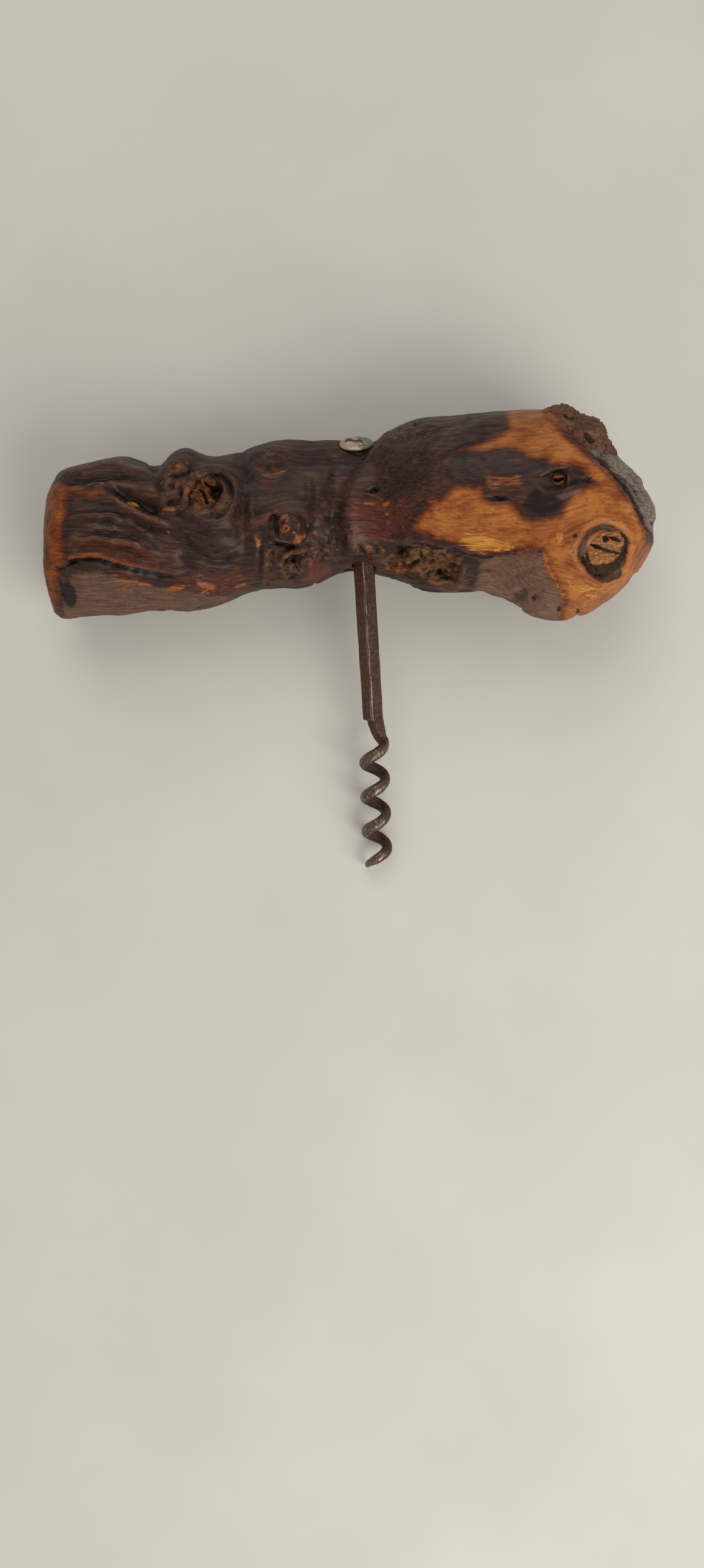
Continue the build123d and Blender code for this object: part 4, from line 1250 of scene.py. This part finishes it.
    def grain(self, skin: Skin) -> np.ndarray:
        """Coordinates in millimetres that follow the fibres round every swirl."""
        grain = skin.at - CROSSING
        sheet = as_drawn(skin.at)
        for swirl in self.swirls:
            away = sheet - np.array(swirl.centre)
            near = np.maximum((away ** 2).sum(1), swirl.radius ** 2)
            grain[:, 1] -= away[:, 1] * swirl.radius ** 2 / near
        return grain

    def rings(self, skin: Skin) -> np.ndarray:
        """Growth rings round the pith, on the sawn left end alone."""
        sawn = smooth(-skin.normal[:, 0], 0.7, 0.9) * smooth(skin.at[:, 0], -72, -76)
        from_pith = skin.at[:, 1:] - np.array(self.pith)
        radius = np.linalg.norm(from_pith * np.array([0.9, 1.1]), axis=1)
        radius += 1.4 * skin.noise((9.0, 9.0, 9.0), 41.0)
        wave = 0.5 + 0.5 * np.sin(2 * np.pi * radius / self.ring_mm)
        return sawn * (0.15 + 0.85 * wave**3)

    def colour(self, skin: Skin) -> None:
        """Stores the masks that the material mixes its colours by."""
        sheet = self.wandering(skin)
        top = smooth(skin.normal[:, 2], -0.75, -0.05)
        masks = {tint: np.zeros(skin.count) for tint in Tint}
        for patch in self.patches:
            inside = patch.strength * inside_outline(sheet, patch.outline, patch.soft) * top
            masks[patch.tint] = np.maximum(masks[patch.tint], inside)
        for stroke in self.details:
            if stroke.tint:
                near = stroke.strength * stroke_height(stroke, sheet)[1] * top
                masks[stroke.tint] = np.maximum(masks[stroke.tint], near)
        under = smooth(skin.noise((22.0, 9.0, 9.0), 14.0, 2), 0.05, 0.4) * (1 - top)
        masks[WORN] = np.maximum(masks[WORN], 0.8 * under)
        # painted shade: the bore's walls are darkened with the dark tint
        bore = 1 - smooth(distance_to_axis(skin.at), 3.2, 3.9)
        masks[DARK_AND_SHADE] = np.maximum(masks[DARK_AND_SHADE], bore)
        for tint, mask in masks.items():
            skin.keep(tint.value, mask)
        rotten = np.zeros(skin.count)
        for decay in self.decays:
            inside = decay.colour * inside_outline(sheet, decay.outline, decay.soft) * top
            rotten = np.maximum(rotten, inside)
        skin.keep("rotten", rotten)
        skin.keep("rings", self.rings(skin))
        skin.keep("relief", skin.relief(10, 0.5))
        skin.keep("grain", self.grain(skin))


def screw_frame() -> tuple[np.ndarray, np.ndarray, np.ndarray]:
    """The screw's own axes in the row frame: across, towards the board, and up its axis."""
    lean, tilt = math.radians(LEAN), math.radians(TILT)
    level = math.cos(tilt)
    up = np.array([-math.sin(lean) * level, math.cos(lean) * level, math.sin(tilt)])
    across = np.array([math.cos(lean), math.sin(lean), 0.0])
    return across, np.cross(up, across), up


def distance_to_axis(places: np.ndarray) -> np.ndarray:
    """How far each place is from the screw's axis, in millimetres."""
    up = screw_frame()[2]
    away = places - CROSSING
    return np.linalg.norm(away - (away @ up)[:, None] * up, axis=1)


def to_row(places: np.ndarray) -> np.ndarray:
    """Takes places from the screw's own frame to the row frame, in millimetres."""
    return CROSSING + places @ np.array(screw_frame())


# --- the screw -------------------------------------------------------------------------------


@dataclass
class ForgedScrew:
    """Square shank, wire worm and peened tang, forged from one bar.

    The stub's top and foot are each a middle across the screw, a half width and a half depth.
    """

    side: float = 4.2
    turn: float = 40.0
    shank_top: float = 13.7
    shoulder: float = 56.3
    corner_wear: float = 0.38
    pitch: float = 9.75
    helix: float = 2.85
    radial: float = 1.38
    wide: float = 1.62
    lead_radius: float = 1.9
    lead_start: float = 50.5
    lead_turn: float = 110.0
    first_bend: float = 63.2
    worm_set: float = 1.8
    last_angle: float = 1290.0
    taper: float = 200.0
    point: float = 0.3
    tang: float = 1.7
    tang_root: float = 1.0
    tang_end: float = 1.2
    seat: float = 16.2
    stub_above: float = 0.6
    stub_below: float = 5.0
    stub_top: tuple[float, float, float] = (1.0, 1.75, 1.3)
    stub_foot: tuple[float, float, float] = (2.25, 1.05, 1.0)
    wire_rings: int = 420
    wire_sides: int = 28
    skin_mm: float = 0.18

    def build(self, finish: bpy.types.Material) -> bpy.types.Object:
        """Models the bar, bends the wire, joins them and forges their skin.

        Args:
            finish: The steel's material.

        Returns:
            The finished piece.
        """
        shank = self.bar()
        others = (self.shoulder_block(), self.wire(), self.peened_tang())
        pick(shank)
        for other in others:
            other.select_set(True)
        bpy.ops.object.join()
        shank.name = shank.data.name = "screw_forging"
        remesh(shank, self.skin_mm)
        skin = Skin(shank)
        self.forge(skin)
        dress(shank, finish)
        return shank

    def bar(self) -> bpy.types.Object:
        """The square shank, with its corners rubbed round."""
        deselect()
        length = self.shank_top + self.shoulder
        bpy.ops.mesh.primitive_cube_add(
            size=1, location=(0, 0, (self.shank_top - self.shoulder) / 2 * MM),
            rotation=(0, 0, math.radians(self.turn)),
            scale=(self.side * MM, self.side * MM, length * MM),
        )
        bar = bpy.context.object
        settle(bar)
        bpy.ops.object.mode_set(mode="EDIT")
        bpy.ops.mesh.bevel(offset=self.corner_wear * MM, segments=3, affect="EDGES")
        bpy.ops.object.mode_set(mode="OBJECT")
        return bar

    def shoulder_block(self) -> bpy.types.Object:
        """The stub of the bar that was drawn down towards the wire on the first turn's side."""
        deselect()
        top, low = self.stub_above - self.shoulder, -self.shoulder - self.stub_below
        bpy.ops.mesh.primitive_cube_add(size=2, location=(0, 0, 0))
        block = bpy.context.object
        for corner in block.data.vertices:
            lower = corner.co.z < 0
            middle, half_width, half_depth = self.stub_foot if lower else self.stub_top
            x = middle + half_width * corner.co.x
            corner.co = Vector((x, half_depth * corner.co.y, low if lower else top)) * MM
        pick(block)
        bpy.ops.object.mode_set(mode="EDIT")
        bpy.ops.mesh.select_all(action="SELECT")
        bpy.ops.mesh.bevel(offset=self.corner_wear * MM, segments=2, affect="EDGES")
        bpy.ops.object.mode_set(mode="OBJECT")
        return block

    def wire_centre(self, angle: np.ndarray) -> np.ndarray:
        """The wire's centre at angles turned past the first bend, or before it if negative."""
        share = np.clip(1 + angle / self.lead_turn, 0, 1)
        lead_in = self.first_bend - self.pitch * self.lead_turn / 360 - self.lead_start
        drop = lead_in * (1 - share) ** 2
        along = self.first_bend + self.pitch * angle / 360 - np.where(angle < 0, drop, 0)
        radius = self.helix * np.where(angle < 0, share * share * (3 - 2 * share), 1)
        t = np.radians(-angle)
        return np.stack([radius * np.cos(t), radius * np.sin(t), -along], 1)

    def wire(self) -> bpy.types.Object:
        """A straight round bar with many rings, bent into the worm and drawn to its point."""
        deselect()
        bpy.ops.mesh.primitive_grid_add(
            x_subdivisions=self.wire_sides, y_subdivisions=self.wire_rings, size=1
        )
        wire = bpy.context.object
        mesh = wire.data
        flat = np.zeros(len(mesh.vertices) * 3, np.float32)
        mesh.vertices.foreach_get("co", flat)
        flat = flat.reshape(-1, 3)
        angle = -self.lead_turn + (flat[:, 1] + 0.5) * (self.last_angle + self.lead_turn)
        around = (flat[:, 0] + 0.5) * 2 * math.pi
        centre = self.wire_centre(angle)
        ahead = self.wire_centre(angle + 0.5) - self.wire_centre(angle - 0.5)
        ahead /= np.linalg.norm(ahead, axis=1)[:, None]
        t = np.radians(-angle)
        out = np.stack([np.cos(t), np.sin(t), np.zeros(len(t))], 1)
        out -= ahead * (out * ahead).sum(1)[:, None]
        out /= np.linalg.norm(out, axis=1)[:, None]
        side = np.cross(ahead, out)
        drawn = np.clip(1 + angle / self.lead_turn, 0, 1)
        left = np.clip((self.last_angle - angle) / self.taper, 0, 1)
        share = self.point + (1 - self.point) * np.sin(left * math.pi / 2)
        radial = (self.lead_radius + (self.radial - self.lead_radius) * drawn) * share
        wide = (self.lead_radius + (self.wide - self.lead_radius) * drawn) * share
        places = centre + out * (radial * np.cos(around))[:, None]
        places += side * (wide * np.sin(around))[:, None]
        bend = math.tan(math.radians(self.worm_set))
        places[:, 0] += np.minimum(places[:, 2] + self.shoulder, 0) * bend
        mesh.vertices.foreach_set("co", (places * MM).astype(np.float32).ravel())
        mesh.update()
        pick(wire)
        bpy.ops.object.mode_set(mode="EDIT")
        bpy.ops.mesh.select_all(action="SELECT")
        bpy.ops.mesh.remove_doubles(threshold=0.005 * MM)
        bpy.ops.mesh.select_all(action="DESELECT")
        bpy.ops.mesh.select_non_manifold()
        bpy.ops.mesh.fill_holes(sides=0)
        bpy.ops.mesh.select_all(action="SELECT")
        bpy.ops.mesh.normals_make_consistent(inside=False)
        bpy.ops.object.mode_set(mode="OBJECT")
        return wire

    def peened_tang(self) -> bpy.types.Object:
        """The round tang above the shank, spread at its end by the hammer."""
        deselect()
        top = self.seat + self.tang_end
        low = self.shank_top - self.tang_root
        bpy.ops.mesh.primitive_cylinder_add(
            vertices=32, radius=self.tang * MM, depth=(top - low) * MM,
            location=(0, 0, (top + low) / 2 * MM),
        )
        tang = bpy.context.object
        settle(tang)
        return tang

    def forge(self, skin: Skin) -> None:
        """Gives the steel its hammer waves, pits and rubbed edges, and puts it in its place."""
        local = skin.at.copy()
        along = local[:, 2] + self.shoulder
        waves = 0.09 * skin.noise((1.8, 1.8, 4.5), 2.0, 2)
        pits = -0.10 * smooth(skin.noise((0.7, 0.7, 0.9), 7.0, 2), 0.45, 0.9)
        skin.push(waves + pits)
        relief = skin.relief(8, 0.16)
        shank = smooth(along, -0.5, 0.5)
        from_axis = np.linalg.norm(local[:, :2], axis=1)
        corner = smooth(from_axis, self.side * 0.6, self.side * 0.64) * shank
        edge = np.maximum(corner, smooth(relief, 0.35, 0.8) * (1 - shank))
        turns = (1 - shank) * smooth(from_axis, 3.0, 4.2)
        rubbed = smooth(skin.noise((1.5, 1.5, 6.0), 9.0, 2), -0.5, 0.5)
        polish = (0.3 + 0.34 * rubbed) * turns + 0.2 * (1 - shank)
        skin.keep("worn", np.maximum(edge * (0.7 + 0.3 * rubbed), polish))
        skin.keep("rusty", 0.6 * shank * smooth(local[:, 0], 0.4, -0.4))
        skin.keep("relief", skin.relief(5, 0.1))
        angle = np.degrees(np.arctan2(local[:, 1], local[:, 0]))
        winding = np.where(along < 0, local[:, 2] * 6.0 + angle * 0.05, local[:, 2])
        skin.keep("along", np.stack([winding, local[:, 0], local[:, 1]], 1))
        skin.at = to_row(skin.at)
        skin.write()


# --- the washer ------------------------------------------------------------------------------


@dataclass
class HammeredWasher:
    """A soft white-metal rove, hammered down over the tang.

    Each tier is how far its rim draws in and its share of the rise above the brim. The cracks and
    the tang's end are in millimetres from the rove's middle.
    """

    radius: float = 4.5
    height: float = 1.5
    brim: float = 0.45
    seat: float = 16.2
    tilt: float = 24.0
    tiers: tuple[tuple[float, float], ...] = ((0.86, 0.45), (0.72, 0.4), (0.86, 0.2))
    cracks: tuple[tuple[Point, ...], ...] = (
        ((0.9, 0.6), (1.1, -0.9), (1.6, -1.9)), ((0.2, -2.4), (1.6, -2.0), (2.2, -3.0)),
    )
    crack_mm: float = 0.16
    tang_at: Point = (-1.8, -0.2)
    skin_mm: float = 0.14

    def build(self, finish: bpy.types.Material) -> bpy.types.Object:
        """Turns the washer from a disc, hammers it and beds it in its seat.

        Args:
            finish: The white metal's material.

        Returns:
            The finished piece.
        """
        deselect()
        bpy.ops.mesh.primitive_cylinder_add(
            vertices=48, radius=self.radius * MM, depth=self.brim * MM,
            location=(0, 0, self.brim / 2 * MM),
        )
        cap = bpy.context.object
        cap.name = cap.data.name = "washer_cap"
        settle(cap)
        pick(cap)
        bpy.ops.object.mode_set(mode="EDIT")
        bpy.ops.mesh.select_all(action="DESELECT")
        bpy.ops.object.mode_set(mode="OBJECT")
        for face in cap.data.polygons:
            face.select = face.normal.z > 0.9
        bpy.ops.object.mode_set(mode="EDIT")
        for share, rise in self.tiers:
            bpy.ops.mesh.extrude_region_move(
                TRANSFORM_OT_translate={"value": (0, 0, (self.height - self.brim) * rise * MM)}
            )
            bpy.ops.transform.resize(value=(share, share, 1), center_override=(0, 0, 0))
        bpy.ops.object.mode_set(mode="OBJECT")
        remesh(cap, self.skin_mm)
        skin = Skin(cap)
        self.hammer(skin)
        dress(cap, finish)
        return cap

    def hammer(self, skin: Skin) -> None:
        """Dents the cap, cracks it and beds it on the handle."""
        local = skin.at.copy()
        high = smooth(local[:, 2], 0.1, 0.5)
        facets = 0.3 * skin.noise((2.6, 2.6, 2.6), 3.0, 1)
        skin.push(facets * high)
        cracks = np.zeros(skin.count)
        for path in self.cracks:
            distance = along_path(local[:, :2], rounded(path))[0]
            cracks = np.maximum(cracks, np.exp(-((distance / self.crack_mm) ** 2)))
        from_tang = (local[:, :2] - np.array(self.tang_at)) * np.array([0.85, 1.1])
        ragged = np.linalg.norm(from_tang, axis=1) + 0.3 * skin.noise((0.8, 0.8, 0.8), 5.0)
        tang = smooth(ragged, 1.3, 1.0) * smooth(local[:, 2], 0.6, 0.9)
        skin.push((-0.35 * cracks - 0.2 * tang) * high)
        skin.keep("tang", tang)
        # painted reflection: where the wood's orange shows on the lower rim
        skin.keep("brim", 0.8 * smooth(local[:, 2], 0.5, 0.15) * smooth(local[:, 0], 0.5, -1.5))
        skin.keep("relief", skin.relief(6, 0.15) - cracks)
        # which side is painted lighter, for the painted light and shade
        skin.keep("lit_side", smooth(local[:, 0], -0.6, 1.4))
        lean = math.radians(self.tilt)
        normal = np.array([0.0, -math.sin(lean), math.cos(lean)])
        axes = np.array([[1.0, 0.0, 0.0], np.cross(normal, [1.0, 0.0, 0.0]), normal])
        skin.at = to_row(np.array([0.0, 0.0, self.seat]) + skin.at @ axes)
        skin.write()


# --- the knots -------------------------------------------------------------------------------


@dataclass
class DeadKnot:
    """The dry core of a dead side shoot, set in the pocket that the root has left round it.

    Its cracks and pits are on the drawing sheet. Each pit is a centre, radius and depth.
    """

    node: str
    radius: float
    cracks: tuple[tuple[Point, ...], ...] = ()
    pits: tuple[tuple[float, float, float, float], ...] = ()
    crumble: float = 0.3
    raised: float = 0.3
    spread: float = 0.6
    rim: float = 0.8
    aged: float = 0.0
    ragged: float = 0.1
    oval: float = 1.0
    skin_mm: float = 0.2
    seed: float = 1.0

    def build(self, solid: bpy.types.Object, finish: bpy.types.Material) -> bpy.types.Object:
        """Breaks up the face of the knot's solid.

        Args:
            solid: The knot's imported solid.
            finish: The dead wood's material.

        Returns:
            The finished piece.
        """
        core = bpy.data.objects.new(self.node + "_core", solid.data.copy())
        bpy.context.scene.collection.objects.link(core)
        outward(core)
        remesh(core, self.skin_mm)
        skin = Skin(core)
        self.weather(skin)
        dress(core, finish)
        return core

    def weather(self, skin: Skin) -> None:
        """Spreads the core unevenly into the root, then cracks and crumbles its face."""
        up = skin.normal[skin.normal[:, 2] > 0.55].mean(0)
        up /= np.linalg.norm(up)
        height = (skin.at - skin.at.mean(0)) @ up
        face = smooth(height, height.max() - 1.3, height.max() - 0.4)
        uneven = 0.5 + skin.noise((3.0, 3.0, 3.0), self.seed + 5, 2)
        skin.push((1 - face) * self.spread * uneven)
        plan = as_drawn(skin.at)
        plan[:, 0] += 0.25 * skin.noise((1.2, 1.2, 1.2), self.seed + 8)
        plan[:, 1] += 0.25 * skin.noise((1.2, 1.2, 1.2), self.seed + 9)
        rough = self.crumble * skin.noise((1.5, 1.1, 1.1), self.seed, 3)
        opened = np.zeros(skin.count)
        for path in self.cracks:
            near, share, _ = along_path(plan, rounded(path))
            width = 0.1 + 0.34 * smooth(np.minimum(share, 1 - share), -0.05, 0.4)
            opened = np.maximum(opened, np.exp(-((near / width) ** 2)))
        sunk = np.zeros(skin.count)
        for x, y, radius, depth in self.pits:
            away = np.linalg.norm(plan - np.array([x, y]), axis=1)
            sunk = np.maximum(sunk, depth * np.exp(-((away / radius) ** 4)))
        skin.push(face * (rough + self.raised - 1.4 * opened - sunk))
        away = (plan - plan[face > 0.5].mean(0)) * np.array([1.0, self.oval])
        distance = np.linalg.norm(away, axis=1)
        distance += self.ragged * self.radius * skin.noise((1.8, 1.8, 1.8), self.seed + 11, 2)
        inner, outer = (self.radius * (self.rim + soft) for soft in (-0.12, 0.12))
        skin.keep("rim", smooth(distance, inner, outer))
        skin.keep("aged", np.full(skin.count, self.aged))
        # the cracks and pits deepen the relief that the material darkens as painted shade
        skin.keep("relief", skin.relief(6, 0.3) - opened - 0.6 * np.clip(sunk, 0, 1.5))


# --- board, light and camera -----------------------------------------------------------------


@dataclass(frozen=True)
class Lamp:
    """One square area light, placed in metres and aimed near the middle of the board."""

    name: str
    at: tuple[float, float, float]
    size_m: float
    watts: float
    colour: str


@dataclass
class Studio:
    """The pale board that the corkscrew lies on, soft light, and the camera straight above."""

    camera_at: tuple[float, float, float] = tuple(EYE)
    lens_mm: float = 27.04
    near_clip_m: float = 0.01
    sky: str = "#ffffff"
    sky_strength: float = 0.36
    board_m: float = 3.0
    lamps: tuple[Lamp, ...] = (
        Lamp("low_window", (0.42, -0.5, 0.5), 0.6, 5.2, "#fffaf2"),
        Lamp("far_window", (-0.1, 0.55, 0.66), 0.7, 2.5, "#fffaf2"),
        Lamp("wall_glow", (-0.55, -0.45, 0.5), 0.7, 0.5, "#fff2e2"),
    )
    aim_m: tuple[float, float, float] = (0.0, -0.02, 0.0)

    def build(self) -> None:
        """Adds the board, the lights and the camera."""
        self.board()
        self.lights()
        self.camera()

    def board(self) -> None:
        """A wide flat board just under the corkscrew."""
        deselect()
        bpy.ops.mesh.primitive_plane_add(size=self.board_m, location=(0, 0, 0))
        board = bpy.context.object
        board.name = board.data.name = "board"
        dress(board, BoardPaint().make())

    def lights(self) -> None:
        """Dim even light from all round, and a few soft square lamps."""
        world = bpy.data.worlds.new("soft_room")
        bpy.context.scene.world = world
        world.use_nodes = True
        background = world.node_tree.nodes["Background"]
        background.inputs["Color"].default_value = linear(self.sky)
        background.inputs["Strength"].default_value = self.sky_strength
        for lamp in self.lamps:
            deselect()
            bpy.ops.object.light_add(type="AREA", location=lamp.at)
            light = bpy.context.object
            light.name = lamp.name
            light.data.size = lamp.size_m
            light.data.energy = lamp.watts
            light.data.color = linear(lamp.colour)[:3]
            aim = Vector(self.aim_m) - Vector(lamp.at)
            light.rotation_euler = aim.to_track_quat("-Z", "Y").to_euler()

    def camera(self) -> None:
        """A camera looking straight down, upright along +Y."""
        data = bpy.data.cameras.new("camera_above")
        data.lens = self.lens_mm
        data.clip_start = self.near_clip_m
        camera = bpy.data.objects.new("camera_above", data)
        camera.location = Vector(self.camera_at) * MM
        bpy.context.scene.collection.objects.link(camera)
        bpy.context.scene.camera = camera


# --- the whole corkscrew ---------------------------------------------------------------------


@dataclass
class Corkscrew:
    """Every piece of the corkscrew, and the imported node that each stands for."""

    root: VineRoot = field(default_factory=VineRoot)
    screw: ForgedScrew = field(default_factory=ForgedScrew)
    washer: HammeredWasher = field(default_factory=HammeredWasher)
    knots: tuple[DeadKnot, ...] = (
        DeadKnot(
            "large_knot", 5.7,
            cracks=(((57.2, -10.9), (59.6, -12.0), (61.8, -12.9), (64.3, -13.6), (66.7, -14.0)),
                    ((63.3, -9.7), (64.8, -10.3), (66.4, -10.9)),
                    ((57.0, -12.9), (57.8, -15.9), (60.2, -18.4))),
            pits=((62.4, -10.1, 0.9, 1.2), (60.0, -10.6, 1.5, 0.35), (65.6, -16.8, 1.0, 0.5)),
            crumble=0.16, raised=0.35, spread=0.9, rim=1.02, seed=1.0,
        ),
        DeadKnot(
            "crumbled_knot", 4.6,
            cracks=(((-41, 2.6), (-39.6, 0.6), (-38.8, -1.8), (-36.6, -3.0)),
                    ((-39.8, 4.2), (-38.2, 2.8), (-36.4, 3.4))),
            pits=((-36.2, 1.9, 2.2, 2.2), (-34.6, -0.8, 1.4, 1.4)),
            crumble=0.95, raised=0.7, spread=1.0, rim=0.8, aged=0.85, ragged=0.5, seed=2.0,
        ),
        DeadKnot(
            "eye_knot", 2.1, cracks=(((49.0, 5.2), (50.4, 4.9), (52.0, 5.4)),),
            crumble=0.4, raised=0.0, spread=0.2, rim=0.7, aged=0.75, ragged=0.25, oval=1.4,
            seed=3.0,
        ),
    )

    def build(self, nodes: dict[str, bpy.types.Object]) -> None:
        """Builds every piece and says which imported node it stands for.

        Args:
            nodes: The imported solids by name.
        """
        vine = self.root.build(nodes["vine_handle"], VarnishedVine().make())
        self.place(vine, "vine_handle", "vine_wood")
        steel = self.screw.build(ForgedSteel().make())
        self.place(steel, "forged_screw", "worn_steel")
        cap = self.washer.build(WhiteMetal().make())
        self.place(cap, "top_washer", "white_metal")
        dead = DeadWood().make()
        for knot in self.knots:
            self.place(knot.build(nodes[knot.node], dead), knot.node, "knot_wood")

    @staticmethod
    def place(piece: bpy.types.Object, node: str, slot: str) -> None:
        """Makes a piece ride on the one body in place of its node, and reports it."""
        pick(piece)
        bpy.ops.object.shade_smooth()
        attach(piece, "root")
        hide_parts(node)
        LOG.info("%s stands for %s with %d faces", piece.name, node, len(piece.data.polygons))


def main() -> None:
    """Loads the frame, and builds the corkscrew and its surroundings."""
    logging.basicConfig(level=logging.INFO, format="%(name)s: %(message)s")
    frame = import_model()
    bpy.context.scene.view_settings.view_transform = "Standard"
    Corkscrew().build(frame["nodes"])
    Studio().build()
    LOG.info("the corkscrew is built")


if __name__ == "__main__":
    main()
